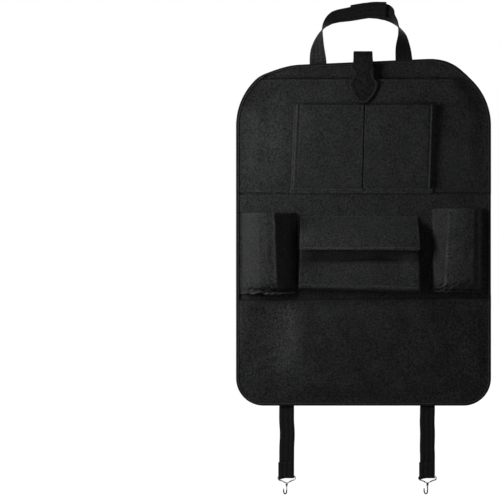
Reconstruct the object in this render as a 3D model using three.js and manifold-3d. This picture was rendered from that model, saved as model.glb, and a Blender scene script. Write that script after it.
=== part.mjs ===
import * as THREE from "three";
import Module from "manifold-3d";

// Car seat back organizer: a felt wall of pockets that hangs on the back of a front seat.
// Millimetres. X runs to the right as seen from the front, Z up, and the front faces -Y.
// The origin is the centre of the back panel's flat rear face.

const wasm = await Module();
wasm.setup();

// Sheet thicknesses and the gap left between pieces that touch
const FELT = 3;
const CLEAR = 0.3;
const WEBBING = 2;
const ELASTIC = 1.6;
const TAB_THICKNESS = 2.5;
const TAPE = 1;

// Back panel outline
const PANEL_HALF_WIDTH = 209;
const PANEL_TOP = 283;
const PANEL_BOTTOM = -281;
const TOP_CORNER_RADIUS = 105;
const BOTTOM_CORNER_RADIUS = 45;
const TOP_EDGE_SLOPE = 0.045;
const TOP_EDGE_SLOPE_START = 254;

// Tape folded over the edge
const BINDING_THICKNESS = 1;
const BINDING_LEG = 5.5;
const BINDING_STEP = 4;

// Magazine pocket: the wide upper panel
const MAGAZINE_BOTTOM = 68;
const MAGAZINE_MOUTH = 253;
const MAGAZINE_DEPTH = 6.5;
const SEWN_MARGIN = 9;
const MAGAZINE_SIDE_RISE = 30;
const MAGAZINE_BOTTOM_RISE = 40;

// Phone pockets, sewn on the magazine pocket
const PHONE_TOP = 210.5;
const PHONE_DEPTH = 14;
const PHONE_LOW_DEPTH = 7;
const PHONE_MARGIN = 4;
const PHONE_SIDE_LEAN = 3;
const PHONE_CENTRE_MARGIN = 1;
const PHONE_CENTRE_LEAN = 1.5;
const PHONE_BOTTOM_RISE = 9;
const LEFT_PHONE = { topLeft: -113, topRight: 0.5, lowLeft: -119, lowRight: -3 };
const RIGHT_PHONE = { topLeft: 2, topRight: 117, lowLeft: -1, lowRight: 113 };

// Bottle pockets at both sides of the middle band, each with its shares of the depth from the outer
// margin, over the front and the ridge, to the inner side
const BOTTLE_DEPTH = 46;
const BOTTLE_CLOSING = 26;
const BOTTLE_RIDGE_ROUND = 6;
const LEFT_BOTTLE = {
  frontShares: [0.42, 0.74, 0.96, 1, 0.86, 0.42],
  outer: -PANEL_HALF_WIDTH + BINDING_THICKNESS + CLEAR,
  outerMargin: SEWN_MARGIN,
  ridgeTop: -PANEL_HALF_WIDTH + 63,
  ridgeLow: -PANEL_HALF_WIDTH + 67,
  inner: -PANEL_HALF_WIDTH + 99,
  top: 34,
  bottom: -97,
};
const RIGHT_BOTTLE = {
  frontShares: [0.94, 1, 0.94, 0.9, 0.72, 0.36],
  outer: PANEL_HALF_WIDTH - 14,
  outerMargin: 3,
  ridgeTop: PANEL_HALF_WIDTH - 70,
  ridgeLow: PANEL_HALF_WIDTH - 78,
  inner: PANEL_HALF_WIDTH - 96,
  top: 41,
  bottom: -94,
};

// Tissue pocket: a box whose empty front folds inwards along a slit, under a lid that hangs over it
const TISSUE_DEPTH = 30;
const TISSUE_BOTTOM = -87;
const TISSUE_SEAM_DROP = 4;
const TISSUE_FRONT_TOP = -14;
const TISSUE_TOP_HALF_WIDTH = PANEL_HALF_WIDTH - 113.5;
const TISSUE_LOW_HALF_WIDTH = PANEL_HALF_WIDTH - 109.5;
const TISSUE_CENTRE = -7;
const TISSUE_CORNER = 3;
const TISSUE_FOLD_Z = -44;
const TISSUE_FOLD_DEPTH = 22;
const TISSUE_FOLD_TOP = -24;
const TISSUE_SLIT_WIDTH = 84;
const TISSUE_SLIT_HEIGHT = 8;
const LID_TOP = 28.6;
const LID_FLAT = 4.6;
const LID_BEND_TOP = -3;
const LID_BOTTOM = -25;
const LID_OVERHANG = 0.5;

// Plain panel at the bottom
const LOWER_TOP = -106;
const LOWER_TOP_SLOPE = 0.01;
const LOWER_WAVE = 1.2;
const LOWER_WAVES = 3;
const LOWER_CREST = 10;
const LOWER_CREST_LEFT = -150;
const LOWER_CREST_X = -88;
const LOWER_CREST_RIGHT = 60;

// Handle: two webbing straps, overlapped at the top and held by hook-and-loop tape. Each point of a
// leg has its place across the panel, its rise above the panel's top and its turn in degrees.
const HANDLE_WIDTH = 27;
const HANDLE_MIDDLE_Y = -2.05;
const LEFT_LEG = [
  { x: -74.4, rise: 0, turn: 0 },
  { x: -74.8, rise: 22, turn: 40 },
  { x: -69, rise: 48.7, turn: 84 },
  { x: -61, rise: 62.6, turn: 110 },
  { x: -48.4, rise: 72.5, turn: 132 },
];
const RIGHT_LEG = [
  { x: 66.5, rise: 0, turn: 0 },
  { x: 64.9, rise: 22.8, turn: 26 },
  { x: 63.1, rise: 44.9, turn: 62 },
  { x: 54.9, rise: 62.6, turn: 98 },
  { x: 46.2, rise: 72.3, turn: 118 },
];
const BAND_LEFT = { x: -20.5, rise: 79.8 };
const BAND_MIDDLE = { x: 12.3, rise: 85.6 };
const BAND_RIGHT = { x: 37, rise: 84.8 };
const BAND_LEFT_TILT = 38;
const BAND_RIGHT_TILT = 12;
const BAND_SLIP = 4.5;
const HANDLE_TAPE_WIDTH = 22;
const HANDLE_TAPE_LEFT = -12;
const HANDLE_TAPE_RIGHT = 34;

// Closure tab with a shield-shaped end
const TAB_TOP_HALF_WIDTH = 14.8;
const TAB_NECK_HALF_WIDTH = 16.8;
const TAB_CENTRE = -1;
const TAB_RISE = 300;
const TAB_TIP = 212;
const TAB_SHIELD_TOP = 247;
const TAB_SHIELD_HALF_WIDTH = 24;
const TAB_SHOULDER = 10;
const TAB_PATCH_HALF_WIDTH = 12;
const TAB_PATCH_BOTTOM = 224;
const TAB_PATCH_TOP = 249;

// Lower straps and the wire hooks in their ends
const LOWER_STRAP_WIDTH = 24;
const LEFT_STRAP_X = -126;
const RIGHT_STRAP_X = 105;
const HOOK_BAR_Z = -397;
const STRAP_FOLD_TOP = -374;
const WIRE_RADIUS = 1.1;
const BAR_SLACK = 0.5;
const HOOK_HALF_WIDTH = 14;
const HOOK_SHOULDER = 5.2;
const HOOK_THROAT = 11;
const HOOK_STEM = 24;
const HOOK_BEND_RADIUS = 5;
const HOOK_TIP_RISE = 3;
const HOOK_TURN = 60;

// Heights in front of the back panel's rear face
const FIRST_LAYER = FELT + CLEAR;
const SECOND_LAYER = FIRST_LAYER + FELT;
const MAGAZINE_FRONT = SECOND_LAYER + MAGAZINE_DEPTH;

const smooth = (t) => THREE.MathUtils.smoothstep(t, 0, 1);
const mix = THREE.MathUtils.lerp;
const radians = THREE.MathUtils.degToRad;

// The top edge isn't quite level: this lifts points near it by their place across the panel.
function topLift(x, z) {
  const share = smooth((z - TOP_EDGE_SLOPE_START) / (PANEL_TOP - TOP_EDGE_SLOPE_START));
  return x * TOP_EDGE_SLOPE * share;
}

// Half width of the panel outline at height z, for an outline drawn in by inset.
function edgeX(z, inset) {
  const half = PANEL_HALF_WIDTH - inset;
  const topRadius = TOP_CORNER_RADIUS - inset;
  const lowRadius = BOTTOM_CORNER_RADIUS - inset;
  const aboveTop = z - (PANEL_TOP - TOP_CORNER_RADIUS);
  const belowLow = PANEL_BOTTOM + BOTTOM_CORNER_RADIUS - z;
  if (aboveTop > 0) {
    return half - topRadius + Math.sqrt(Math.max(0, topRadius ** 2 - aboveTop ** 2));
  }
  if (belowLow > 0) {
    return half - lowRadius + Math.sqrt(Math.max(0, lowRadius ** 2 - belowLow ** 2));
  }
  return half;
}

// Points of one corner arc of the outline, from angle a to angle b in degrees.
function cornerArc(centreX, centreZ, radius, a, b, steps) {
  const points = [];
  for (let i = 0; i <= steps; i += 1) {
    const angle = radians(mix(a, b, i / steps));
    points.push([centreX + radius * Math.cos(angle), centreZ + radius * Math.sin(angle)]);
  }
  return points;
}

// The whole outline, drawn in by inset, counter-clockwise from the lower right corner.
function outline(inset, sideStations) {
  const top = PANEL_TOP - TOP_CORNER_RADIUS;
  const low = PANEL_BOTTOM + BOTTOM_CORNER_RADIUS;
  const topX = PANEL_HALF_WIDTH - TOP_CORNER_RADIUS;
  const lowX = PANEL_HALF_WIDTH - BOTTOM_CORNER_RADIUS;
  const topRadius = TOP_CORNER_RADIUS - inset;
  const lowRadius = BOTTOM_CORNER_RADIUS - inset;
  const half = PANEL_HALF_WIDTH - inset;
  const rightSide = sideStations.map((z) => [half, z]);
  const leftSide = sideStations.map((z) => [-half, z]).reverse();
  const crossing = [0.75, 0.5, 0.25].map((t) => mix(-topX, topX, t));
  const loop = [
    ...cornerArc(lowX, low, lowRadius, -90, 0, 8),
    ...rightSide,
    ...cornerArc(topX, top, topRadius, 0, 90, 16),
    ...crossing.map((x) => [x, PANEL_TOP - inset]),
    ...cornerArc(-topX, top, topRadius, 90, 180, 16),
    ...leftSide,
    ...cornerArc(-lowX, low, lowRadius, 180, 270, 8),
  ];
  return loop.map(([x, z]) => [x, z + topLift(x, z)]);
}

// A closed solid between two grids of points with the same rows and columns.
function gridSolid(outer, inner, closedRows = false) {
  const rows = outer.length;
  const columns = outer[0].length;
  const position = [];
  for (const grid of [outer, inner]) {
    for (const row of grid) {
      for (const point of row) {
        position.push(point.x, point.y, point.z);
      }
    }
  }
  const half = rows * columns;
  const at = (r, c) => (r % rows) * columns + c;
  const index = [];
  const quad = (a, b, c, d) => index.push(a, b, c, a, c, d);
  const lastRow = closedRows ? rows : rows - 1;
  for (let r = 0; r < lastRow; r += 1) {
    for (let c = 0; c < columns - 1; c += 1) {
      quad(at(r, c), at(r, c + 1), at(r + 1, c + 1), at(r + 1, c));
      quad(half + at(r, c), half + at(r + 1, c), half + at(r + 1, c + 1), half + at(r, c + 1));
    }
    quad(at(r, 0), at(r + 1, 0), half + at(r + 1, 0), half + at(r, 0));
    const end = columns - 1;
    quad(at(r + 1, end), at(r, end), half + at(r, end), half + at(r + 1, end));
  }
  if (!closedRows) {
    for (let c = 0; c < columns - 1; c += 1) {
      quad(at(0, c + 1), at(0, c), half + at(0, c), half + at(0, c + 1));
      const end = rows - 1;
      quad(at(end, c), at(end, c + 1), half + at(end, c + 1), half + at(end, c));
    }
  }
  if (signedVolume(position, index) < 0) {
    index.reverse();
  }
  const geometry = new THREE.BufferGeometry();
  geometry.setAttribute("position", new THREE.Float32BufferAttribute(position, 3));
  geometry.setIndex(index);
  geometry.computeVertexNormals();
  return geometry;
}

function signedVolume(position, index) {
  const a = new THREE.Vector3();
  const b = new THREE.Vector3();
  const c = new THREE.Vector3();
  let sum = 0;
  for (let i = 0; i < index.length; i += 3) {
    a.fromArray(position, index[i] * 3);
    b.fromArray(position, index[i + 1] * 3);
    c.fromArray(position, index[i + 2] * 3);
    sum += a.dot(b.cross(c));
  }
  return sum / 6;
}

// The points behind a grid at the sheet's thickness, square to each face and mitred at folds.
function behind(grid, thickness, rearLimit) {
  const faceNormal = (r, c) => {
    const across = grid[r][c + 1].clone().add(grid[r + 1][c + 1]).sub(grid[r][c]).sub(grid[r + 1][c]);
    const up = grid[r + 1][c].clone().add(grid[r + 1][c + 1]).sub(grid[r][c]).sub(grid[r][c + 1]);
    return across.cross(up).normalize();
  };
  const rows = grid.length;
  const columns = grid[0].length;
  return grid.map((row, r) =>
    row.map((point, c) => {
      const normals = [];
      for (const fr of [r - 1, r]) {
        for (const fc of [c - 1, c]) {
          if (fr >= 0 && fc >= 0 && fr < rows - 1 && fc < columns - 1) {
            normals.push(faceNormal(fr, fc));
          }
        }
      }
      const mean = normals.reduce((sum, n) => sum.add(n), new THREE.Vector3()).normalize();
      const least = Math.max(0.55, Math.min(...normals.map((n) => n.dot(mean))));
      const moved = point.clone().addScaledVector(mean, -thickness / least);
      moved.y = Math.min(moved.y, -rearLimit);
      return moved;
    }),
  );
}

function sheetSolid(grid, thickness, rearLimit) {
  return gridSolid(grid, behind(grid, thickness, rearLimit));
}

// A strap: stations give its centre line and the direction of its width.
function strapSolid(stations, width, thickness) {
  const count = stations.length;
  const front = [];
  const rear = [];
  for (let i = 0; i < count; i += 1) {
    const before = stations[Math.max(0, i - 1)].centre;
    const after = stations[Math.min(count - 1, i + 1)].centre;
    const along = after.clone().sub(before).normalize();
    const across = stations[i].across.clone();
    across.addScaledVector(along, -across.dot(along)).normalize();
    const out = along.clone().cross(across);
    const corner = (side, face) =>
      stations[i].centre
        .clone()
        .addScaledVector(across, (side * width) / 2)
        .addScaledVector(out, (face * thickness) / 2);
    front.push([corner(-1, 1), corner(0, 1), corner(1, 1)]);
    rear.push([corner(-1, -1), corner(0, -1), corner(1, -1)]);
  }
  return gridSolid(front, rear);
}

// The outline as a flat plate between two heights in front of the rear face
function platePoints(inset, nearY, farY) {
  const shape = new THREE.Shape(outline(inset, []).map(([x, z]) => new THREE.Vector2(x, z)));
  const plate = new THREE.ExtrudeGeometry(shape, { depth: farY - nearY, bevelEnabled: false });
  plate.rotateX(Math.PI / 2);
  plate.translate(0, -nearY, 0);
  return plate;
}

// A geometry as a solid for joining
function toSolid(geometry) {
  const plain = geometry.index ? geometry.toNonIndexed() : geometry.clone();
  const source = plain.getAttribute("position");
  const keys = new Map();
  const vertices = [];
  const triangles = [];
  for (let i = 0; i < source.count; i += 1) {
    const point = [source.getX(i), source.getY(i), source.getZ(i)];
    const key = point.map((value) => Math.round(value * 1000)).join(",");
    if (!keys.has(key)) {
      keys.set(key, vertices.length / 3);
      vertices.push(...point);
    }
    triangles.push(keys.get(key));
  }
  return new wasm.Manifold(
    new wasm.Mesh({
      numProp: 3,
      vertProperties: new Float32Array(vertices),
      triVerts: new Uint32Array(triangles),
    }),
  );
}

// A joined solid as a geometry
function toGeometry(solid) {
  const mesh = solid.getMesh();
  const geometry = new THREE.BufferGeometry();
  geometry.setAttribute("position", new THREE.BufferAttribute(mesh.vertProperties, 3));
  geometry.setIndex(new THREE.BufferAttribute(mesh.triVerts, 1));
  geometry.computeVertexNormals();
  return geometry;
}

// Back panel: full thickness inside, pressed thinner under the edge tape
function backPanelGeometry() {
  const core = platePoints(BINDING_LEG + CLEAR, 0, FELT);
  const rim = platePoints(BINDING_THICKNESS + CLEAR, BINDING_THICKNESS + CLEAR, FELT);
  return toGeometry(toSolid(core).add(toSolid(rim)));
}

// Outer face of the felt that the edge tape covers at one point of the edge
function layerUnderTape(x, z) {
  const beside = (low, high) => z > low - BINDING_STEP && z < high + BINDING_STEP;
  const underMagazine = beside(MAGAZINE_BOTTOM, MAGAZINE_MOUTH + 2 * BINDING_STEP);
  const underLower = z < LOWER_TOP + 2 * BINDING_STEP;
  const underBottle = x < 0 && beside(LEFT_BOTTLE.bottom, LEFT_BOTTLE.top);
  return underMagazine || underLower || underBottle ? SECOND_LAYER : FIRST_LAYER - CLEAR;
}

// Heights on the sides where the number of layers changes
function sideStations() {
  const changes = [LOWER_TOP + BINDING_STEP, LEFT_BOTTLE.bottom - BINDING_STEP];
  changes.push(LEFT_BOTTLE.top + BINDING_STEP, MAGAZINE_BOTTOM - BINDING_STEP);
  const heights = changes.flatMap((z) => [z - BINDING_STEP / 2, z + BINDING_STEP / 2]);
  heights.push(-190, -32, 125);
  return heights.sort((a, b) => a - b);
}

// Edge tape: a U folded over the edge, flush with the rear face
function edgeBindingGeometry() {
  const stations = sideStations();
  const edge = outline(0, stations);
  const wall = outline(BINDING_THICKNESS, stations);
  const leg = outline(BINDING_LEG, stations);
  const outer = [];
  const inner = [];
  edge.forEach(([x, z], i) => {
    const under = -(layerUnderTape(x, z) + CLEAR);
    const front = under - BINDING_THICKNESS;
    const point = ([px, pz], y) => new THREE.Vector3(px, y, pz);
    outer.push([point(leg[i], 0), point(edge[i], 0), point(edge[i], front), point(leg[i], front)]);
    const rear = -BINDING_THICKNESS;
    inner.push([point(leg[i], rear), point(wall[i], rear), point(wall[i], under), point(leg[i], under)]);
  });
  return gridSolid(outer, inner, true);
}

// How far the magazine panel stands off the back panel
function magazineLift(x, z) {
  const fromSide = edgeX(z, 0) - Math.abs(x) - SEWN_MARGIN;
  const fromBottom = z - MAGAZINE_BOTTOM - SEWN_MARGIN;
  return MAGAZINE_DEPTH * smooth(fromSide / MAGAZINE_SIDE_RISE) * smooth(fromBottom / MAGAZINE_BOTTOM_RISE);
}

// Distances across a panel from its edge, close together where the panel rises
const EDGE_STEPS = [0, SEWN_MARGIN, 19, 29, SEWN_MARGIN + MAGAZINE_SIDE_RISE];

function acrossPanel(half, middleSteps) {
  const left = EDGE_STEPS.map((d) => -half + d);
  const right = EDGE_STEPS.map((d) => half - d).reverse();
  const flat = half - EDGE_STEPS[EDGE_STEPS.length - 1];
  const middle = [];
  for (let i = 1; i < middleSteps; i += 1) {
    middle.push(mix(-flat, flat, i / middleSteps));
  }
  return [...left, ...middle, ...right];
}

function magazinePanelGeometry() {
  const inset = BINDING_THICKNESS + CLEAR;
  const heights = [0, SEWN_MARGIN, 20, 30, 40, 50, 80].map((d) => MAGAZINE_BOTTOM + d);
  heights.push(165, 180, 195, 210, 222, 233, 244, MAGAZINE_MOUTH);
  const grid = heights.map((z) =>
    acrossPanel(edgeX(z, inset), 8).map(
      (x) => new THREE.Vector3(x, -(SECOND_LAYER + magazineLift(x, z)), z + topLift(x, z)),
    ),
  );
  return sheetSolid(grid, FELT, FIRST_LAYER);
}

// Distances in from a phone pocket's side seam, each with its share of the pocket's depth
function phoneSide(margin, lean) {
  const ridge = margin + lean;
  return [[0, 0], [margin, 0], [ridge, 0.86], [ridge + 4, 1], [ridge + 20, 1]];
}

// Phone pocket: sewn margins, sides that stand up, and a flat front
function phonePocketGeometry(edges) {
  const span = PHONE_TOP - MAGAZINE_BOTTOM;
  const rises = [0, PHONE_MARGIN, PHONE_MARGIN + PHONE_BOTTOM_RISE / 2, PHONE_MARGIN + PHONE_BOTTOM_RISE];
  const heights = [...rises, 24, 38, 54, 88, 120, span].map((d) => MAGAZINE_BOTTOM + d);
  const grid = heights.map((z) => {
    const up = (z - MAGAZINE_BOTTOM) / span;
    const left = mix(edges.lowLeft, edges.topLeft, up);
    const right = mix(edges.lowRight, edges.topRight, up);
    const full = mix(PHONE_LOW_DEPTH, PHONE_DEPTH, up);
    const depth = full * smooth((z - MAGAZINE_BOTTOM - PHONE_MARGIN) / PHONE_BOTTOM_RISE);
    const outside = phoneSide(PHONE_MARGIN, PHONE_SIDE_LEAN);
    const centre = phoneSide(PHONE_CENTRE_MARGIN, PHONE_CENTRE_LEAN);
    const [leftSide, rightSide] = edges.topLeft < 0 ? [outside, centre] : [centre, outside];
    const columns = leftSide.map(([d, share]) => [left + d, share]);
    columns.push([(left + right) / 2, 1]);
    columns.push(...rightSide.map(([d, share]) => [right - d, share]).reverse());
    return columns.map(([x, share]) => {
      const base = SECOND_LAYER + magazineLift(x, z) + CLEAR + FELT;
      return new THREE.Vector3(x, -(base + depth * share), z);
    });
  });
  const inner = behind(grid, FELT, FIRST_LAYER);
  inner.forEach((row) =>
    row.forEach((point) => {
      const lift = SECOND_LAYER + magazineLift(point.x, point.z) + CLEAR;
      point.y = Math.min(point.y, -lift);
    }),
  );
  return gridSolid(grid, inner);
}

// Share of a pocket's depth left at a height above its bottom
function closing(above, length) {
  const t = Math.min(1, above / length);
  return Math.sqrt(1 - (1 - t) ** 2);
}

// Bottle pocket: a sharp ridge between a broad front and a steep side, gathered at the bottom
function bottlePocketGeometry(pocket) {
  const rises = [0, 1.2, 3.5, 8, 15, BOTTLE_CLOSING, 52, 78, 104];
  const heights = rises.map((d) => pocket.bottom + d);
  heights.push(pocket.top);
  const towards = Math.sign(pocket.inner - pocket.outer);
  const grid = heights.map((z) => {
    const up = (z - pocket.bottom) / (pocket.top - pocket.bottom);
    const ridge = mix(pocket.ridgeLow, pocket.ridgeTop, up);
    const depth = BOTTLE_DEPTH * closing(z - pocket.bottom, BOTTLE_CLOSING);
    const margin = pocket.outer + towards * pocket.outerMargin;
    const round = towards * BOTTLE_RIDGE_ROUND;
    const places = [mix(margin, ridge, 0.25), mix(margin, ridge, 0.5), ridge - round];
    places.push(ridge, ridge + round, mix(ridge, pocket.inner, 0.65));
    const front = places.map((x, i) => [x, pocket.frontShares[i]]);
    const section = [[pocket.outer, 0], [margin, 0], ...front, [pocket.inner, 0]];
    const curve = new THREE.CatmullRomCurve3(
      section.map(([x, share]) => new THREE.Vector3(x, -(SECOND_LAYER + depth * share), z)),
      false,
      "centripetal",
    );
    const points = curve.getPoints(30);
    return points.map((point, i) => gathered(point, i, z - pocket.bottom, pocket));
  });
  const ordered = towards > 0 ? grid : grid.map((row) => row.slice().reverse());
  return sheetSolid(ordered, FELT, FIRST_LAYER);
}

// Small folds near the bottom seam, where the felt is gathered
function gathered(point, column, above, pocket) {
  const near = above > 0 ? smooth(1 - (above - 3) / 22) : 0;
  const fromEdge = Math.min(Math.abs(point.x - pocket.outer), Math.abs(point.x - pocket.inner));
  const share = near * smooth((fromEdge - 8) / 12);
  point.y -= 1.6 * share * (1 + Math.cos(column * 1.6));
  point.y = Math.min(point.y, -SECOND_LAYER);
  return point;
}

// How far the tissue pocket's front sinks in at a height, most at its middle and less by its corners
function tissueSag(z, fromCorner) {
  const below = (z - TISSUE_BOTTOM - TISSUE_CORNER) / (TISSUE_FOLD_Z - TISSUE_BOTTOM - TISSUE_CORNER);
  const above = (TISSUE_FOLD_TOP - z) / (TISSUE_FOLD_TOP - TISSUE_FOLD_Z);
  const upDown = Math.max(0, Math.min(below, above, 1));
  const across = mix(0.45, 1, smooth(fromCorner / 40));
  return TISSUE_FOLD_DEPTH * upDown * across;
}

// Tissue pocket box: bottom, two sides, and a front with a slit along its fold
function tissueBoxGeometry() {
  const half = (z) =>
    mix(TISSUE_LOW_HALF_WIDTH, TISSUE_TOP_HALF_WIDTH, (z - TISSUE_BOTTOM) / (LID_TOP - TISSUE_BOTTOM));
  const sideTop = (share) => mix(20, LID_BEND_TOP - 3.5, share);
  const fold = (TISSUE_FOLD_Z - TISSUE_BOTTOM) / (TISSUE_FRONT_TOP - TISSUE_BOTTOM);
  const levels = [0, 0, 0.05, 0.2, 0.4, fold - 0.04, fold, fold + 0.04, 0.74, 0.86, 1];
  const corner = TISSUE_CORNER;
  const side = [[0, 0], [0, 0.33], [0, 0.66], [0, 1 - corner / TISSUE_DEPTH]];
  const front = [[corner * 0.3, 1 - (corner * 0.3) / TISSUE_DEPTH], [corner, 1], [15, 1], [28, 1], [50, 1]];
  const leftColumns = [...side, ...front];
  const rows = levels.map((level, r) => {
    const place = ([d, share], mirrored) => {
      const isSide = share < 1 - (corner * 0.5) / TISSUE_DEPTH;
      const topZ = isSide ? sideTop(share) : TISSUE_FRONT_TOP;
      const z = r === 0 ? TISSUE_BOTTOM - TISSUE_SEAM_DROP : mix(TISSUE_BOTTOM, topZ, level);
      const sign = mirrored ? 1 : -1;
      const x = TISSUE_CENTRE + sign * (half(z) - d);
      const full = TISSUE_DEPTH - tissueSag(mix(TISSUE_BOTTOM, TISSUE_FRONT_TOP, level), d);
      const depth = share * full * (r === 0 ? 0.05 : 1);
      return new THREE.Vector3(x, -(FIRST_LAYER + depth), z);
    };
    const left = leftColumns.map((column) => place(column, false));
    const right = leftColumns.map((column) => place(column, true)).reverse();
    const middle = left[left.length - 1].clone();
    middle.x = TISSUE_CENTRE;
    return [...left, middle, ...right];
  });
  const box = toSolid(sheetSolid(rows, FELT, FIRST_LAYER));
  return toGeometry(box.subtract(toSolid(tissueSlitGeometry())));
}

// A bar with rounded ends, for cutting the slit that tissues are drawn through
function tissueSlitGeometry() {
  const reach = (TISSUE_SLIT_WIDTH - TISSUE_SLIT_HEIGHT) / 2;
  const shape = new THREE.Shape();
  shape.absarc(reach, 0, TISSUE_SLIT_HEIGHT / 2, -Math.PI / 2, Math.PI / 2, false);
  shape.absarc(-reach, 0, TISSUE_SLIT_HEIGHT / 2, Math.PI / 2, (3 * Math.PI) / 2, false);
  const cut = new THREE.ExtrudeGeometry(shape, { depth: TISSUE_DEPTH, bevelEnabled: false, curveSegments: 5 });
  cut.rotateX(Math.PI / 2);
  cut.translate(TISSUE_CENTRE, -FIRST_LAYER - FELT, TISSUE_FOLD_Z);
  return cut;
}

// Tissue pocket lid: sewn at its top, slopes out over the box and hangs down in front
function tissueLidGeometry() {
  const outY = FIRST_LAYER + TISSUE_DEPTH + LID_OVERHANG + FELT;
  const profile = [
    [SECOND_LAYER, LID_TOP],
    [SECOND_LAYER, LID_TOP - LID_FLAT],
    [mix(SECOND_LAYER, outY, 0.33), mix(LID_TOP - LID_FLAT, LID_BEND_TOP, 0.33)],
    [mix(SECOND_LAYER, outY, 0.66), mix(LID_TOP - LID_FLAT, LID_BEND_TOP, 0.66)],
    [outY - 1.5, LID_BEND_TOP + 1.3],
    [outY, LID_BEND_TOP - 2],
    [outY, mix(LID_BEND_TOP, LID_BOTTOM, 0.5)],
    [outY, LID_BOTTOM],
  ];
  const grid = profile.reverse().map(([y, z]) => {
    const up = (z - LID_BOTTOM) / (LID_TOP - LID_BOTTOM);
    const half = mix(TISSUE_TOP_HALF_WIDTH + 2, TISSUE_TOP_HALF_WIDTH, up);
    const shares = [-1, -0.75, -0.5, -0.25, 0, 0.25, 0.5, 0.75, 1];
    return shares.map((share) => new THREE.Vector3(TISSUE_CENTRE + share * half, -y, z));
  });
  return sheetSolid(grid, FELT, FIRST_LAYER);
}

// A broad soft fold down the lower panel
function lowerCrest(x) {
  const rise = smooth((x - LOWER_CREST_LEFT) / (LOWER_CREST_X - LOWER_CREST_LEFT));
  const fall = smooth((LOWER_CREST_RIGHT - x) / (LOWER_CREST_RIGHT - LOWER_CREST_X));
  return LOWER_CREST * rise * fall;
}

// Plain lower panel, slightly wavy between its seams
function lowerPanelGeometry() {
  const inset = BINDING_THICKNESS + CLEAR;
  const heights = [inset, 3, 7, 12, 20, 30, 45].map((d) => PANEL_BOTTOM + d);
  heights.push(-210, -180, -155, -130, -115, LOWER_TOP);
  const grid = heights.map((z) => {
    const half = edgeX(z, inset);
    return acrossPanel(half, 12).map((x) => {
      const fromEdge = Math.min(half - Math.abs(x), z - PANEL_BOTTOM, LOWER_TOP - z + 4);
      const share = smooth((fromEdge - SEWN_MARGIN) / 30);
      const wave = 1 + Math.cos((x / PANEL_HALF_WIDTH) * LOWER_WAVES * Math.PI + z / 60);
      const slope = LOWER_TOP_SLOPE * x * smooth((z - PANEL_BOTTOM) / (LOWER_TOP - PANEL_BOTTOM));
      const lift = share * (LOWER_WAVE * wave + lowerCrest(x));
      return new THREE.Vector3(x, -(SECOND_LAYER + lift), z + slope);
    });
  });
  return sheetSolid(grid, FELT, FIRST_LAYER);
}

const STRAP_APART = WEBBING + 2 * TAPE + 4 * CLEAR;
const TAPE_APART = TAPE + CLEAR;

// The handle's top leans forward, more at its left than at its right.
function bandTilt(x) {
  const share = THREE.MathUtils.clamp((x - BAND_LEFT.x) / (BAND_RIGHT.x - BAND_LEFT.x), 0, 1);
  return radians(mix(BAND_LEFT_TILT, BAND_RIGHT_TILT, share));
}

// A point of the handle's top, in a layer off its middle and slipped down in that layer
function bandPoint(place, off, slip = 0) {
  const tilt = bandTilt(place.x);
  const y = HANDLE_MIDDLE_Y - off * Math.cos(tilt) + slip * Math.sin(tilt);
  const z = PANEL_TOP + place.rise - off * Math.sin(tilt) - slip * Math.cos(tilt);
  return new THREE.Vector3(place.x, y, z);
}

// The leg of a handle strap, from just above the top edge to where the handle's top begins
function handleLeg(leg, topY) {
  return leg.map(({ x, rise }, i) => {
    const foot = topLift(x + HANDLE_WIDTH / 2, PANEL_TOP) + 4 * CLEAR;
    const y = mix(HANDLE_MIDDLE_Y, topY, smooth((i - 1) / 3));
    return new THREE.Vector3(x, y, PANEL_TOP + (i === 0 ? foot : rise));
  });
}

// Stations along a handle strap: it makes half a turn in its leg, and then leans as the handle's top
function handleStations(points, leg, turnSign) {
  const curve = new THREE.CatmullRomCurve3(points, false, "centripetal");
  const steps = (points.length - 1) * 5;
  const stations = [];
  for (let i = 0; i <= steps; i += 1) {
    const t = i / steps;
    const centre = curve.getPoint(t);
    const along = curve.getTangent(t);
    const place = t * (points.length - 1);
    const below = Math.min(Math.floor(place), leg.length - 1);
    const above = below + 1 < leg.length ? radians(leg[below + 1].turn) : Math.PI - bandTilt(centre.x);
    const turn = turnSign * mix(radians(leg[below].turn), above, Math.min(1, place - below));
    const inPlane = new THREE.Vector3(along.z, 0, -along.x).normalize();
    const across = inPlane.multiplyScalar(Math.cos(turn));
    across.y += Math.sin(turn);
    stations.push({ centre, across });
  }
  return stations;
}

function leftHandleGeometry() {
  const points = handleLeg(LEFT_LEG, HANDLE_MIDDLE_Y - STRAP_APART / 2);
  points.push(...[BAND_LEFT, BAND_MIDDLE, BAND_RIGHT].map((place) => bandPoint(place, STRAP_APART / 2)));
  return strapSolid(handleStations(points, LEFT_LEG, -1), HANDLE_WIDTH, WEBBING);
}

function rightHandleGeometry() {
  const points = handleLeg(RIGHT_LEG, HANDLE_MIDDLE_Y + STRAP_APART / 2);
  points.push(bandPoint(BAND_RIGHT, -STRAP_APART / 2, BAND_SLIP));
  points.push(bandPoint(BAND_MIDDLE, -STRAP_APART / 2, BAND_SLIP / 2));
  points.push(bandPoint(BAND_LEFT, -STRAP_APART / 2));
  return strapSolid(handleStations(points, RIGHT_LEG, 1), HANDLE_WIDTH, WEBBING);
}

// A strip of tape that follows the handle's top between its two straps
function handleTapeGeometry(off) {
  const points = [BAND_LEFT, BAND_MIDDLE, BAND_RIGHT].map((place) => bandPoint(place, off));
  const stations = new THREE.CatmullRomCurve3(points, false, "centripetal")
    .getPoints(12)
    .filter((point) => point.x > HANDLE_TAPE_LEFT - 4 && point.x < HANDLE_TAPE_RIGHT + 2)
    .map((centre) => {
      const tilt = bandTilt(centre.x);
      return { centre, across: new THREE.Vector3(0, -Math.sin(tilt), Math.cos(tilt)) };
    });
  return strapSolid(stations, HANDLE_TAPE_WIDTH, TAPE);
}

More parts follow.
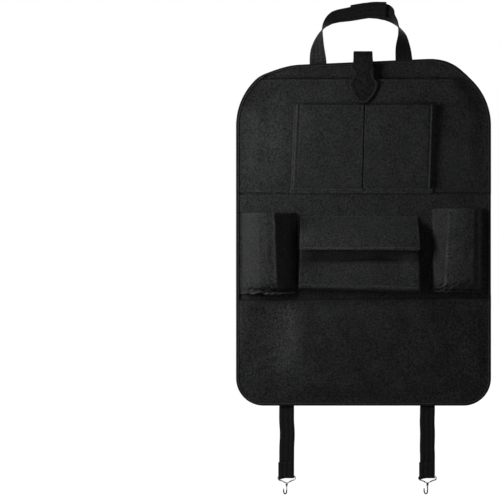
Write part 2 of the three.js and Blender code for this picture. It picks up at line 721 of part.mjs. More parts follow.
// Half width of the closure tab at a height in front of the pocket
function tabHalfWidth(z) {
  if (z >= TAB_SHIELD_TOP) {
    const neck = TAB_SHIELD_TOP + TAB_SHOULDER;
    const strap = mix(TAB_NECK_HALF_WIDTH, TAB_TOP_HALF_WIDTH, Math.max(0, (z - neck) / (TAB_RISE - neck)));
    return mix(TAB_SHIELD_HALF_WIDTH, strap, smooth((z - TAB_SHIELD_TOP) / TAB_SHOULDER));
  }
  const share = (z - TAB_TIP) / (TAB_SHIELD_TOP - TAB_TIP);
  return Math.max(1, TAB_SHIELD_HALF_WIDTH * (1 - (1 - share) ** 1.7) ** 0.8);
}

// Closure tab: rises from the top edge, folds over and hangs down in front of the mouth
function closureTabGeometry() {
  const frontY = MAGAZINE_FRONT + 3 * CLEAR + 2 * TAPE + TAB_THICKNESS;
  const rearY = CLEAR;
  const middle = (frontY + rearY) / 2;
  const rows = [];
  const shield = TAB_SHIELD_TOP - TAB_TIP;
  const heights = [0, 0.04, 0.1, 0.2, 0.33, 0.5, 0.7, 0.85].map((share) => TAB_TIP + share * shield);
  heights.push(...[0, 0.25, 0.5, 0.75, 1, 2.3].map((share) => TAB_SHIELD_TOP + share * TAB_SHOULDER));
  for (const z of heights) {
    rows.push([frontY, z, tabHalfWidth(z)]);
  }
  const bendRadius = (frontY - rearY) / 2;
  const bendZ = TAB_RISE - bendRadius;
  for (let i = 0; i <= 8; i += 1) {
    const angle = radians(mix(0, 180, i / 8));
    const y = middle + bendRadius * Math.cos(angle);
    rows.push([y, bendZ + bendRadius * Math.sin(angle), TAB_TOP_HALF_WIDTH]);
  }
  const foot = PANEL_TOP + CLEAR + 0.6;
  rows.push([rearY, foot, TAB_TOP_HALF_WIDTH]);
  const grid = rows.map(([y, z, half]) =>
    [-1, -0.5, 0, 0.5, 1].map((share) => new THREE.Vector3(TAB_CENTRE + share * half, -y, z)),
  );
  return gridSolid(grid, behind(grid, TAB_THICKNESS, -10));
}

function patchGeometry(y) {
  const height = TAB_PATCH_TOP - TAB_PATCH_BOTTOM;
  const patch = new THREE.BoxGeometry(2 * TAB_PATCH_HALF_WIDTH, TAPE, height);
  patch.translate(TAB_CENTRE, y, (TAB_PATCH_TOP + TAB_PATCH_BOTTOM) / 2);
  return patch;
}

// Lower strap: hangs from the bottom edge, turns round the hook's bar and is sewn to itself
const HOOK_BAR_Y = -2.5;

function lowerStrapGeometry(x) {
  const turn = WIRE_RADIUS + BAR_SLACK + ELASTIC / 2;
  const rearY = HOOK_BAR_Y + ELASTIC / 2 + CLEAR / 2;
  const frontY = rearY - ELASTIC - CLEAR;
  const closeZ = HOOK_BAR_Z + 9;
  const path = [
    [rearY, PANEL_BOTTOM - CLEAR],
    [rearY, -320],
    [rearY, -360],
    [rearY, STRAP_FOLD_TOP],
    [rearY, closeZ],
    [rearY + 0.3, closeZ - 2],
  ];
  for (let i = 0; i <= 10; i += 1) {
    const angle = radians(mix(25, -205, i / 10));
    path.push([HOOK_BAR_Y + turn * Math.cos(angle), HOOK_BAR_Z + turn * Math.sin(angle)]);
  }
  path.push([frontY - 0.3, closeZ - 2], [frontY, closeZ], [frontY, STRAP_FOLD_TOP]);
  const stations = path.map(([y, z]) => ({
    centre: new THREE.Vector3(x, y, z),
    across: new THREE.Vector3(1, 0, 0),
  }));
  return strapSolid(stations, LOWER_STRAP_WIDTH, ELASTIC);
}

function wire(points, closed, steps) {
  const path = new THREE.CatmullRomCurve3(points, closed, "centripetal");
  const circle = new THREE.Shape();
  circle.absarc(0, 0, WIRE_RADIUS, 0, 2 * Math.PI);
  return toSolid(
    new THREE.ExtrudeGeometry(circle, { steps, extrudePath: path, curveSegments: 4, bevelEnabled: false }),
  );
}

// Wire hook: a flat ring through the strap's end, a stem and an upturned end
function wireHookGeometry(x) {
  const at = (dx, dy, dz) => new THREE.Vector3(x + dx, HOOK_BAR_Y + dy, HOOK_BAR_Z + dz);
  const half = HOOK_HALF_WIDTH;
  const ring = [
    at(0, 0, 0),
    at(half * 0.5, 0, 0),
    at(half - 1.5, 0, 0),
    at(half, 0, -1.6),
    at(half, 0, -HOOK_SHOULDER + 1),
    at(half - 1.5, 0, -HOOK_SHOULDER - 0.6),
    at(half * 0.55, 0, -HOOK_SHOULDER - 2.2),
    at(3, 0, -HOOK_THROAT + 1.2),
    at(0, 0, -HOOK_THROAT),
    at(-3, 0, -HOOK_THROAT + 1.2),
    at(-half * 0.55, 0, -HOOK_SHOULDER - 2.2),
    at(-half + 1.5, 0, -HOOK_SHOULDER - 0.6),
    at(-half, 0, -HOOK_SHOULDER + 1),
    at(-half, 0, -1.6),
    at(-half + 1.5, 0, 0),
    at(-half * 0.5, 0, 0),
  ];
  const outX = -Math.cos(radians(HOOK_TURN));
  const outY = Math.sin(radians(HOOK_TURN));
  const stem = [at(0, 0, -HOOK_THROAT), at(0, 0, -HOOK_THROAT - 5), at(0, 0, -HOOK_STEM)];
  for (let i = 1; i <= 6; i += 1) {
    const angle = radians(mix(180, 360, i / 6));
    const reach = HOOK_BEND_RADIUS * (1 + Math.cos(angle));
    const drop = -HOOK_STEM + HOOK_BEND_RADIUS * Math.sin(angle);
    stem.push(at(outX * reach, outY * reach, drop));
  }
  const reach = 2 * HOOK_BEND_RADIUS;
  stem.push(at(outX * reach, outY * reach, -HOOK_STEM + HOOK_TIP_RISE));
  return toGeometry(wire(ring, true, 56).add(wire(stem, false, 26)));
}

const organizer = new THREE.Group();

function addPiece(name, geometry, colour, roughness = 0.95, metalness = 0) {
  const material = new THREE.MeshStandardMaterial({ color: colour, roughness, metalness });
  const piece = new THREE.Mesh(geometry, material);
  piece.name = name;
  organizer.add(piece);
}

const FELT_GREY = 0x2b2c2d;
const TAPE_GREY = 0x1b1b1c;
const STEEL = 0xb8bcc0;

addPiece("back_panel", backPanelGeometry(), FELT_GREY);
addPiece("edge_binding", edgeBindingGeometry(), TAPE_GREY);
addPiece("magazine_pocket_panel", magazinePanelGeometry(), FELT_GREY);
addPiece("left_phone_pocket", phonePocketGeometry(LEFT_PHONE), FELT_GREY);
addPiece("right_phone_pocket", phonePocketGeometry(RIGHT_PHONE), FELT_GREY);
addPiece("left_bottle_pocket", bottlePocketGeometry(LEFT_BOTTLE), FELT_GREY);
addPiece("right_bottle_pocket", bottlePocketGeometry(RIGHT_BOTTLE), FELT_GREY);
addPiece("tissue_pocket_box", tissueBoxGeometry(), FELT_GREY);
addPiece("tissue_pocket_flap", tissueLidGeometry(), FELT_GREY);
addPiece("lower_front_panel", lowerPanelGeometry(), FELT_GREY);
addPiece("left_handle_strap", leftHandleGeometry(), TAPE_GREY);
addPiece("right_handle_strap", rightHandleGeometry(), TAPE_GREY);
addPiece("handle_hook_tape", handleTapeGeometry(TAPE_APART / 2), TAPE_GREY);
addPiece("handle_loop_tape", handleTapeGeometry(-TAPE_APART / 2), TAPE_GREY);
addPiece("closure_tab", closureTabGeometry(), FELT_GREY);
addPiece("tab_loop_patch", patchGeometry(-(MAGAZINE_FRONT + CLEAR + TAPE / 2)), TAPE_GREY);
addPiece("tab_hook_patch", patchGeometry(-(MAGAZINE_FRONT + 2 * CLEAR + 1.5 * TAPE)), TAPE_GREY);
addPiece("left_lower_strap", lowerStrapGeometry(LEFT_STRAP_X), TAPE_GREY);
addPiece("right_lower_strap", lowerStrapGeometry(RIGHT_STRAP_X), TAPE_GREY);
addPiece("left_wire_hook", wireHookGeometry(LEFT_STRAP_X), STEEL, 0.25, 1);
addPiece("right_wire_hook", wireHookGeometry(RIGHT_STRAP_X), STEEL, 0.25, 1);

export default organizer;
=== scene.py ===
import math

import bpy
import numpy as np
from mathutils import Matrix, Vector
from mathutils.bvhtree import BVHTree


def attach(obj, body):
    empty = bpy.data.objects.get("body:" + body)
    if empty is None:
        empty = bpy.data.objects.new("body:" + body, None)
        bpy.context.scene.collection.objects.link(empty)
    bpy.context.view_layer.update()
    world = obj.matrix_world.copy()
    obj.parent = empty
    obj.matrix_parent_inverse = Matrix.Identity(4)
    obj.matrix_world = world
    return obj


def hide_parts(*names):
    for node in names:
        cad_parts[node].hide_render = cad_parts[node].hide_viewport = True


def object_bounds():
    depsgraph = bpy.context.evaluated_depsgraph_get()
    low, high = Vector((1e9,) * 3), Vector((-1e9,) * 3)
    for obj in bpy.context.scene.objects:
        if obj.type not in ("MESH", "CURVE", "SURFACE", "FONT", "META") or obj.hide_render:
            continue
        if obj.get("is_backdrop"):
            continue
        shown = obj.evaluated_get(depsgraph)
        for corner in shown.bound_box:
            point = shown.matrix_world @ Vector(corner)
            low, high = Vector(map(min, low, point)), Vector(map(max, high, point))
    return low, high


# Looks for a hanging car seat back organizer of dark grey felt.
# Lengths in this script are in millimetres in the part's own frame, and meshes are made in metres.

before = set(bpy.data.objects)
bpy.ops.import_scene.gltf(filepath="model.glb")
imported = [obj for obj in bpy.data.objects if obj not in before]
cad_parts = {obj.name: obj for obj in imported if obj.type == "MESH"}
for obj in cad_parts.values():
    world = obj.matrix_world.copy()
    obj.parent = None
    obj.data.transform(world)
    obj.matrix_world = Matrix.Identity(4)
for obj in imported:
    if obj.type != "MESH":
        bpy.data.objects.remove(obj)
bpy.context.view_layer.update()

MM = 0.001
BODY = "organizer"

# Sheet thicknesses and the gap left between layers
FELT = 3.0
CLEAR = 0.3
WEBBING = 2.0
ELASTIC = 1.6
TAB_THICKNESS = 2.5
TAPE = 1.0

# Panel outline
HALF_WIDTH = 209.0
PANEL_TOP = 283.0
PANEL_BOTTOM = -281.0
TOP_RADIUS = 105.0
LOW_RADIUS = 45.0
TOP_SLOPE = 0.045
TOP_SLOPE_START = 254.0
BINDING_THICKNESS = 1.0
BINDING_LEG = 5.5
BINDING_STEP = 4.0

# Pockets
MAGAZINE_BOTTOM = 68.0
MAGAZINE_MOUTH = 253.0
MAGAZINE_DEPTH = 6.5
MARGIN = 9.0
SIDE_RISE = 30.0
BOTTOM_RISE = 40.0
PHONE_TOP = 210.5
PHONE_DEPTH = 14.0
PHONE_LOW_DEPTH = 7.0
PHONE_MARGIN = 4.0
PHONE_BOTTOM_RISE = 9.0
BOTTLE_DEPTH = 46.0
BOTTLE_CLOSING = 26.0
BOTTLE_CURVE = (2.5, 0.8)
BOTTLE_ROUND = 6.0
RIDGE_PINCH = 1.2
HEM_WIDTH = 5.5
HEM_THICKNESS = 2.2
HEM_OUT = 1.6
TISSUE_DEPTH = 30.0
TISSUE_BOTTOM = -87.0
TISSUE_SEAM_DROP = 4.0
TISSUE_SLANT = 5.0
TISSUE_FRONT_TOP = -14.0
TISSUE_TOP_HALF = 95.5
TISSUE_LOW_HALF = 99.5
TISSUE_CENTRE = -7.0
TISSUE_CORNER = 3.0
FOLD_Z = -44.0
FOLD_DEPTH = 22.0
FOLD_TOP_Z = -22.0
SLIT_WIDTH = 84.0
SLIT_HEIGHT = 1.4
LID_TOP = 28.6
LID_FLAT = 4.6
LID_BEND = -3.0
LID_BOTTOM = -25.0
LOWER_TOP = -106.0
LOWER_TOP_SLOPE = 0.01
LOWER_WAVE = 1.2
LOWER_CREST = 10.0
LOWER_BULGE = 3.0

# Heights of the layers in front of the rear face
FIRST = FELT + CLEAR
SECOND = FIRST + FELT
MAGAZINE_FRONT = SECOND + MAGAZINE_DEPTH

# Mesh spacing and thread
STEP = 2.2
STITCH_PITCH = 3.7
STITCH_LENGTH = 2.7
THREAD_RADIUS = 0.36
THREAD_SIDES = 6
# Place along a stitch, lift off the felt and thickness of each ring of its thread
THREAD_RINGS = ((-0.5, -0.55, 0.35), (-0.36, 0.1, 0.85), (0.0, 0.45, 1.0), (0.36, 0.1, 0.85), (0.5, -0.55, 0.35))

# Seams
SEAM_REACH = 203.0
MAGAZINE_SEAM_Z = 75.5
MAGAZINE_MOUTH_SEAM = MAGAZINE_MOUTH - 2.6
MOUTH_SEAM_REACH = 186.0
PHONE_SEAM_Z = 74.0
PHONE_MOUTH_SEAM = PHONE_TOP - 2.2
BOTTLE_INNER_SEAM = 3.0
BOTTLE_OUTER_SEAM = 2.4
LID_LEFT = -100.0
LID_RIGHT = 86.0
LID_TOP_SEAM = LID_TOP - 1.8
LID_LOW_SEAM = LID_BOTTOM + 3
LOWER_SEAM_DROP = 2.2
TAB_SEAM_INSET = 2.6


def smooth(t):
    t = np.clip(t, 0.0, 1.0)
    return t * t * (3 - 2 * t)


def mix(a, b, t):
    return a + (b - a) * t


def bell(t, width):
    """1 where t is 0, and falling to nothing a few widths away."""
    return np.exp(-((t / width) ** 2))


def unit(v):
    return v / np.maximum(1e-9, np.linalg.norm(v, axis=-1, keepdims=True))


def summed(spans):
    return np.concatenate([[0], np.cumsum(spans)])


def walked_along(line):
    """How far along a line each of its points is."""
    return summed(np.linalg.norm(np.diff(line, axis=0), axis=1))


def soften(line, passes):
    """Evens out a line or a grid along its first axis."""
    line = line.copy()
    for _ in range(passes):
        line[1:-1] = (line[:-2] + 2 * line[1:-1] + line[2:]) / 4
    return line


def ripple(u, v, wavelength, seed, waves=9):
    """Gentle unevenness over a surface, about 1 at its highest, the same each run."""
    draw = np.random.default_rng(seed)
    total = np.zeros(np.broadcast(u, v).shape)
    for _ in range(waves):
        angle = draw.uniform(0, 2 * np.pi)
        length = wavelength * draw.uniform(0.6, 1.7)
        phase = draw.uniform(0, 2 * np.pi)
        total = total + np.sin(2 * np.pi * (u * np.cos(angle) + v * np.sin(angle)) / length + phase)
    return total / waves**0.5 / 1.2


def top_lift(x, z):
    return x * TOP_SLOPE * smooth((z - TOP_SLOPE_START) / (PANEL_TOP - TOP_SLOPE_START))


def edge_x(z, inset=0.0):
    """Half width of the outline at height z, drawn in by inset."""
    half = HALF_WIDTH - inset
    top_radius, low_radius = TOP_RADIUS - inset, LOW_RADIUS - inset
    above = np.maximum(0, z - (PANEL_TOP - TOP_RADIUS))
    below = np.maximum(0, PANEL_BOTTOM + LOW_RADIUS - z)
    at_top = half - top_radius + np.sqrt(np.maximum(0, top_radius**2 - above**2))
    at_low = half - low_radius + np.sqrt(np.maximum(0, low_radius**2 - below**2))
    return np.minimum(at_top, at_low)


def edge_distance(x, z):
    """How far inside the panel's outline a point is."""
    x = np.abs(x)
    side = np.minimum(HALF_WIDTH - x, np.minimum(PANEL_TOP - z, z - PANEL_BOTTOM))
    top_x, top_z = HALF_WIDTH - TOP_RADIUS, PANEL_TOP - TOP_RADIUS
    low_x, low_z = HALF_WIDTH - LOW_RADIUS, PANEL_BOTTOM + LOW_RADIUS
    in_top = (x > top_x) & (z > top_z)
    in_low = (x > low_x) & (z < low_z)
    side = np.where(in_top, TOP_RADIUS - np.hypot(x - top_x, z - top_z), side)
    return np.where(in_low, LOW_RADIUS - np.hypot(x - low_x, z - low_z), side)


def magazine_lift(x, z):
    from_side = edge_x(z) - np.abs(x) - MARGIN
    from_bottom = z - MAGAZINE_BOTTOM - MARGIN
    return MAGAZINE_DEPTH * smooth(from_side / SIDE_RISE) * smooth(from_bottom / BOTTOM_RISE)


# Grids of points


def refine(grid, step=STEP):
    """A coarse grid with straight spans between its points, divided to about step."""
    for axis in (0, 1):
        rows = np.moveaxis(grid, axis, 0)
        spans = np.linalg.norm(np.diff(rows, axis=0), axis=2).mean(1)
        parts = []
        for i, span in enumerate(spans):
            count = max(1, int(math.ceil(span / step)))
            t = (np.arange(count) / count)[:, None, None]
            parts.append(rows[i] * (1 - t) + rows[i + 1] * t)
        parts.append(rows[-1:])
        grid = np.moveaxis(np.concatenate(parts), 0, axis)
    return grid


def fine_grid(rows, step, passes):
    """A grid through rows of points, refined to step and relaxed."""
    grid = refine(np.array(rows, float), step)
    for _ in range(passes):
        grid = soften(grid, 1)
        grid = soften(grid.swapaxes(0, 1), 1).swapaxes(0, 1)
    return grid


def normals(grid):
    return unit(np.cross(np.gradient(grid, axis=1), np.gradient(grid, axis=0)))


def line_distance(points, line):
    """Nearest distance of each point to a polyline, and how far along it that is."""
    best = np.full(points.shape[:-1], 1e9)
    where = np.zeros(points.shape[:-1])
    walked = 0.0
    for a, b in zip(line[:-1], line[1:]):
        span = b - a
        length = np.linalg.norm(span)
        t = np.clip(((points - a) @ span) / max(length**2, 1e-9), 0, 1)
        d = np.linalg.norm(points - (a + t[..., None] * span), axis=-1)
        near = d < best
        best = np.where(near, d, best)
        where = np.where(near, walked + t * length, where)
        walked += length
    return best, where


def sew(grid, lines, depth=0.55, pucker=0.32, seed=3, share=1.0):
    """A grid pulled in along lines of thread, with small puckers beside them. share is where it is pulled."""
    relief = np.zeros(grid.shape[:2])
    for number, line in enumerate(lines):
        d, s = line_distance(grid[..., [0, 2]], np.asarray(line, float))
        relief -= depth * bell(d, 1.9)
        relief += pucker * bell(d, 7.0) * np.sin(2 * np.pi * s / 13 + 2 * np.sin(s / 17 + seed + number))
    return grid + normals(grid) * (relief * share)[..., None]


# Meshes


def link(name, data):
    item = bpy.data.objects.new(name, data)
    bpy.context.scene.collection.objects.link(item)
    return item


def write_points(mesh, name, values):
    """Stores a number or a vector for each point of a mesh, for its material."""
    values = np.asarray(values, np.float32)
    kind, part = ("FLOAT", "value") if values.ndim == 1 else ("FLOAT_VECTOR", "vector")
    mesh.attributes.new(name, kind, "POINT").data.foreach_set(part, values.ravel())


def new_object(name, vertices, faces, **attributes):
    mesh = bpy.data.meshes.new(name)
    mesh.from_pydata((np.asarray(vertices) * MM).tolist(), [], faces)
    for key, values in attributes.items():
        write_points(mesh, key, values)
    mesh.polygons.foreach_set("use_smooth", [True] * len(mesh.polygons))
    mesh.update()
    return link(name, mesh)


def shell(name, outer, inner, rim=0.3):
    """A closed sheet between two grids, with rounded edges. Attributes: edge wear and weave place."""
    rows, columns = outer.shape[:2]
    count = rows * columns
    index = np.arange(count).reshape(rows, columns)
    a, b, c, d = (part.ravel() for part in (index[:-1, :-1], index[:-1, 1:], index[1:, 1:], index[1:, :-1]))
    faces = np.stack([a, b, c, d], 1).tolist() + (np.stack([a, d, c, b], 1) + count).tolist()
    loop = np.concatenate([index[0, :-1], index[:-1, -1], index[-1, :0:-1], index[:0:-1, 0]])
    inside = np.concatenate([index[1, :-1], index[:-1, -2], index[-2, :0:-1], index[:0:-1, 1]])
    flat_outer, flat_inner = outer.reshape(-1, 3), inner.reshape(-1, 3)
    edge_out, edge_in = flat_outer[loop], flat_inner[loop]
    away = edge_out - flat_outer[inside]
    away[0] += edge_out[0] - flat_outer[index[0, 1]]
    reach = unit(away) * np.linalg.norm(edge_out - edge_in, axis=1, keepdims=True) * rim
    rings = [mix(edge_out, edge_in, t) + reach * share for t, share in ((0.14, 0.7), (0.5, 1.0), (0.86, 0.7))]
    size = len(loop)
    bands = [loop] + [2 * count + k * size + np.arange(size) for k in range(3)] + [loop + count]
    for upper, lower in zip(bands[:-1], bands[1:]):
        faces += np.stack([upper, lower, np.roll(lower, -1), np.roll(upper, -1)], 1).tolist()
    row, column = np.indices((rows, columns))
    border = np.minimum(np.minimum(row, rows - 1 - row), np.minimum(column, columns - 1 - column))
    wear = np.exp(-border.ravel() * 0.9)
    along = summed(np.linalg.norm(np.diff(outer, axis=0), axis=2).mean(1))
    across = summed(np.linalg.norm(np.diff(outer, axis=1), axis=2).mean(0))
    place = np.dstack([*np.meshgrid(across, along), 0 * border]).reshape(-1, 3)
    vertices = np.concatenate([flat_outer, flat_inner, *rings])
    wear = np.concatenate([wear, wear, np.ones(3 * size)])
    return new_object(name, vertices, faces, wear=wear, weave=np.concatenate([place, place] + [place[loop]] * 3))


def sheet_piece(name, grid, rear):
    """A felt sheet with its outer face on grid. rear gives the nearest that its back may come."""
    inner = grid - normals(grid) * FELT
    limit = rear(inner[..., 0], inner[..., 2]) if callable(rear) else rear
    inner[..., 1] = np.minimum(inner[..., 1], -limit)
    return shell(name, grid, inner)


def stand_for(piece, material, node, body=BODY):
    """Gives a piece its material, and says what moves it and what it stands for."""
    piece.data.materials.append(material)
    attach(piece, body)
    if node:
        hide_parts(node)
    return piece


def dress(piece, node, material, slot, flat, held="hung", area=None, rests_on=("back_panel",)):
    """Dresses a cloth piece with its material. flat and area, its flat size and area in millimetres, are not used."""
    stand_for(piece, material, node)
    return piece


def paint_light_and_tone(piece, lift):
    """Writes painted light and shade, with some even or random tone, on each point. lift is a share of the tone, by x
    and z: above 0 paler, below 0 darker.
    """
    places = np.empty(len(piece.data.vertices) * 3, np.float32)
    piece.data.vertices.foreach_get("co", places)
    places = places.reshape(-1, 3) / MM
    write_points(piece.data, "light_and_tone", lift(places[:, 0], places[:, 2]))


# Materials

FELT_TINT = (0.97, 1.0, 1.0)
# Turn in radians and scale of each run of fibres, and how many lie in a metre
FIBRE_RUNS = ((0.3, 1.0), (1.2, 0.85), (2.1, 1.15), (2.8, 0.95))
FIBRES_ACROSS = 1100
FIBRES_ALONG = 150
# The lowest tone in felt and in yarn, as a share of the colour
DARKEST_FELT = 0.15
DARKEST_YARN = 0.1
WIRE_SHADE_BELOW = -420.8
WIRE_BRIGHT = (0.44, 0.44, 0.45, 1)
WIRE_DARK = (0.022, 0.022, 0.024, 1)


class Graph:
    """Short names for making the shader nodes of a material or a world."""

    def __init__(self, owner, output):
        owner.use_nodes = True
        self.owner, self.tree = owner, owner.node_tree
        self.tree.nodes.clear()
        self.output = self.tree.nodes.new(output)

    def put(self, socket, value):
        if isinstance(value, bpy.types.NodeSocket):
            self.tree.links.new(value, socket)
        else:
            socket.default_value = value

    def add(self, kind, **values):
        """A new node. A value goes to the setting of its name, or else to the input of its name."""
        node = self.tree.nodes.new(kind)
        for key, value in values.items():
            if hasattr(node, key):
                setattr(node, key, value)
            else:
                self.put(node.inputs[key.replace("_", " ")], value)
        return node

    def show(self, shader):
        self.put(self.output.inputs["Surface"], shader.outputs[0])
        return self.owner

    def math(self, operation, a, b=0.0):
        node = self.add("ShaderNodeMath", operation=operation)
        self.put(node.inputs[0], a)
        self.put(node.inputs[1], b)
        return node.outputs[0]

    def total(self, first, *others):
        for other in others:
            first = self.math("ADD", first, other)
        return first

    def times(self, a, b):
        return self.math("MULTIPLY", a, b)

    def most(self, a, b):
        return self.math("MAXIMUM", a, b)

    def wave(self, a, rate):
        return self.math("SINE", self.times(a, rate))

    def ramp(self, value, low, high, to_low=0.0, to_high=1.0):
        node = self.add("ShaderNodeMapRange")
        for socket, v in zip(node.inputs, (value, low, high, to_low, to_high)):
            self.put(socket, v)
        return node.outputs[0]

    def noise(self, vector, scale, detail=2.0, roughness=0.5, distortion=0.0):
        given = {"Vector": vector, "Scale": scale, "Detail": detail, "Roughness": roughness, "Distortion": distortion}
        return self.add("ShaderNodeTexNoise", **given).outputs["Fac"]

    def mapping(self, vector, **given):
        return self.add("ShaderNodeMapping", Vector=vector, **given).outputs[0]

    def blend(self, factor, a, b, mode="MIX"):
        node = self.add("ShaderNodeMix", data_type="RGBA", blend_type=mode, Factor=factor)
        self.put(node.inputs[6], a)
        self.put(node.inputs[7], b)
        return node.outputs[2]

    def bump(self, height, strength, distance, **given):
        return self.add("ShaderNodeBump", Strength=strength, Distance=distance, Height=height, **given).outputs[0]

    def place(self):
        return self.add("ShaderNodeTexCoord").outputs["Object"]

    def point(self, name, output="Fac"):
        return self.add("ShaderNodeAttribute", attribute_name=name).outputs[output]

    def tinted(self, value, tone, tint=(1.0, 1.0, 1.0)):
        """The grey of a value, with a tint, times a tone."""
        three = self.add("ShaderNodeCombineColor", Red=tone, Green=tone, Blue=tone).outputs[0]
        return self.blend(1.0, (*(value * t for t in tint), 1.0), three, "MULTIPLY")

    def seen(self):
        """1 for what the camera sees, itself or in metal or glass, and 0 for what only gives light."""
        path = self.add("ShaderNodeLightPath").outputs
        return self.most(self.most(path["Is Camera Ray"], path["Is Glossy Ray"]), path["Is Transmission Ray"])

    def principled(self, colour, roughness, normal, specular=0.5, **given):
        given.update(Base_Color=colour, Roughness=roughness, Normal=normal, Specular_IOR_Level=specular)
        return self.show(self.add("ShaderNodeBsdfPrincipled", **given))


def new_material(name):
    return Graph(bpy.data.materials.new(name), "ShaderNodeOutputMaterial")


def felt_material(name, value, seed, grain=0.8):
    """Pressed felt: matted fibres that run every way, soft clumps, light flecks and fuzzy edges."""
    g = new_material(name)
    place = g.mapping(g.place(), Location=(seed * 0.37, 0, seed * 0.11))
    fibres = None
    for turn, scale in FIBRE_RUNS:
        across, along = FIBRES_ACROSS * scale, FIBRES_ALONG * scale
        stretched = g.mapping(place, Scale=(across, across, along), Rotation=(0, turn, 0))
        streak = g.ramp(g.noise(stretched, 1.0, 3.0, 0.55, 0.6), 0.56, 0.74)
        fibres = streak if fibres is None else g.most(fibres, streak)
    clumps = g.noise(place, 560.0, 4.0, 0.62, 0.3)
    patches = g.noise(place, 42.0, 3.0, 0.55)
    broad = g.noise(place, 9.0, 2.0, 0.5)
    flecks = g.ramp(g.noise(place, 900.0, 1.0, 0.4), 0.68, 0.76)
    grains = g.noise(place, 340.0, 3.0, 0.65, 0.3)
    tone = g.total(
        g.ramp(clumps, 0.36, 0.64, 0.95 - 0.5 * grain, 0.95 + 0.5 * grain),
        g.ramp(patches, 0.3, 0.7, -0.13, 0.13),
        g.ramp(grains, 0.36, 0.64, -0.62 * grain, 0.62 * grain),
        g.ramp(broad, 0.3, 0.7, -0.1, 0.1),
        g.times(fibres, 0.45),
        g.times(flecks, 0.8 * grain),
        g.times(g.point("wear"), g.ramp(clumps, 0.35, 0.65, 0.1, 0.5)),
    )
    # The painted light and shade, and tone, written on each point scale the felt's tone
    tone = g.times(g.most(tone, DARKEST_FELT), g.total(g.point("light_and_tone"), 1.0))
    height = g.total(g.times(fibres, 0.6), clumps, grains)
    normal = g.bump(patches, 0.25, 0.002, Normal=g.bump(height, 0.8, 0.0022))
    colour = g.tinted(value, tone, FELT_TINT)
    return g.principled(colour, 0.96, normal, 0.03, Sheen_Weight=0.04, Sheen_Roughness=0.6)


def woven_material(name, value, across, along, bump, stripe=0.0):
    """Woven tape or webbing. across and along are the pitches of the weave in millimetres."""
    g = new_material(name)
    parts = g.add("ShaderNodeSeparateXYZ", Vector=g.point("weave", "Vector")).outputs
    warp = g.wave(parts[0], 2 * math.pi / across)
    slant = g.total(parts[1], g.times(g.wave(parts[0], math.pi / across), along * 0.22))
    weft = g.wave(slant, 2 * math.pi / along)
    rib = g.times(g.wave(parts[0], 2 * math.pi / (across * 2.6)), stripe)
    height = g.total(g.times(g.times(warp, weft), 0.5), g.times(weft, 0.35), rib)
    place = g.place()
    fluff = g.noise(place, 420.0, 3.0, 0.7)
    patches = g.noise(place, 60.0, 3.0, 0.5)
    lively = g.total(g.ramp(height, -1.0, 1.0, 0.1, 1.85), g.ramp(fluff, 0.38, 0.62, -0.75, 0.75))
    lively = g.most(g.total(lively, g.ramp(patches, 0.3, 0.7, -0.25, 0.25)), DARKEST_YARN)
    # The painted light and shade, and tone, written on each point scale the yarn's tone
    tone = g.times(g.total(lively, g.times(g.point("wear"), 0.18)), g.total(g.point("light_and_tone"), 1.0))
    normal = g.bump(g.total(height, g.times(fluff, 0.4)), bump, 0.0004)
    return g.principled(g.tinted(value, tone), g.ramp(patches, 0.3, 0.7, 0.6, 0.75), normal, 0.07)


def thread_material(name, value):
    g = new_material(name)
    twist = g.noise(g.place(), 2400.0, 2.0, 0.6)
    return g.principled(g.tinted(value, g.ramp(twist, 0.3, 0.7, 0.7, 1.3)), 0.6, g.bump(twist, 0.4, 0.0002), 0.12)


def wire_material(name):
    """Bright plated steel wire, with fine drawing marks, dull patches and painted shade over its lower bend."""
    g = new_material(name)
    place = g.place()
    marks = g.noise(g.mapping(place, Scale=(2600, 2600, 200)), 1.0, 3.0, 0.6)
    dull = g.noise(place, 260.0, 2.0, 0.5)
    height = g.add("ShaderNodeSeparateXYZ", Vector=place).outputs[2]
    # Painted shade: below this height the wire turns dark, over the lower bend
    bend = g.ramp(height, WIRE_SHADE_BELOW * MM, (WIRE_SHADE_BELOW + 1.5) * MM, 1.0, 0.0)
    colour = g.blend(g.most(g.ramp(dull, 0.44, 0.56), bend), WIRE_BRIGHT, WIRE_DARK)
    return g.principled(colour, g.ramp(dull, 0.3, 0.7, 0.14, 0.3), g.bump(marks, 0.2, 0.0001), Metallic=1.0)


def fuzzy_material(name, value):
    """Hook-and-loop tape: a dense field of tiny loops."""
    g = new_material(name)
    place = g.place()
    cells = g.add("ShaderNodeTexVoronoi", Vector=place, Scale=1100.0).outputs["Distance"]
    tone = g.total(g.ramp(cells, 0.0, 0.8, 1.3, 0.6), g.ramp(g.noise(place, 1500.0, 3.0, 0.7), 0.3, 0.7, -0.2, 0.2))
    return g.principled(g.tinted(value, tone), 0.8, g.bump(cells, 0.7, 0.0006), 0.06)


FELT_LIGHT = felt_material("felt_panels", 0.0275, 1.0)
FELT_DARK = felt_material("felt_back", 0.0275, 4.0)
FELT_TAB = felt_material("felt_tab", 0.0128, 7.0, 1.1)
# The lower panel's felt is the panel felt made darker, with a little more grain: painted shade over the lower panel
FELT_LOW_SHADED = felt_material("felt_lower_shaded", 0.0208, 9.0, 1.0)
BINDING_WEAVE = woven_material("edge_tape_weave", 0.0095, 1.1, 0.9, 0.45)
STRAP_WEAVE = woven_material("webbing_weave", 0.0095, 3.2, 2.6, 0.9, 0.25)
ELASTIC_WEAVE = woven_material("elastic_weave", 0.0064, 3.0, 2.2, 0.9, 0.6)
THREAD = thread_material("sewing_thread", 0.08)
DARK_THREAD = thread_material("dark_thread", 0.014)
WIRE = wire_material("plated_wire")
FUZZ = fuzzy_material("hook_and_loop", 0.014)

# Stitching: short raised threads along lines on a surface


def surface_tree(piece):
    mesh = piece.data
    points = [tuple(v.co / MM) for v in mesh.vertices]
    return BVHTree.FromPolygons(points, [tuple(p.vertices) for p in mesh.polygons])


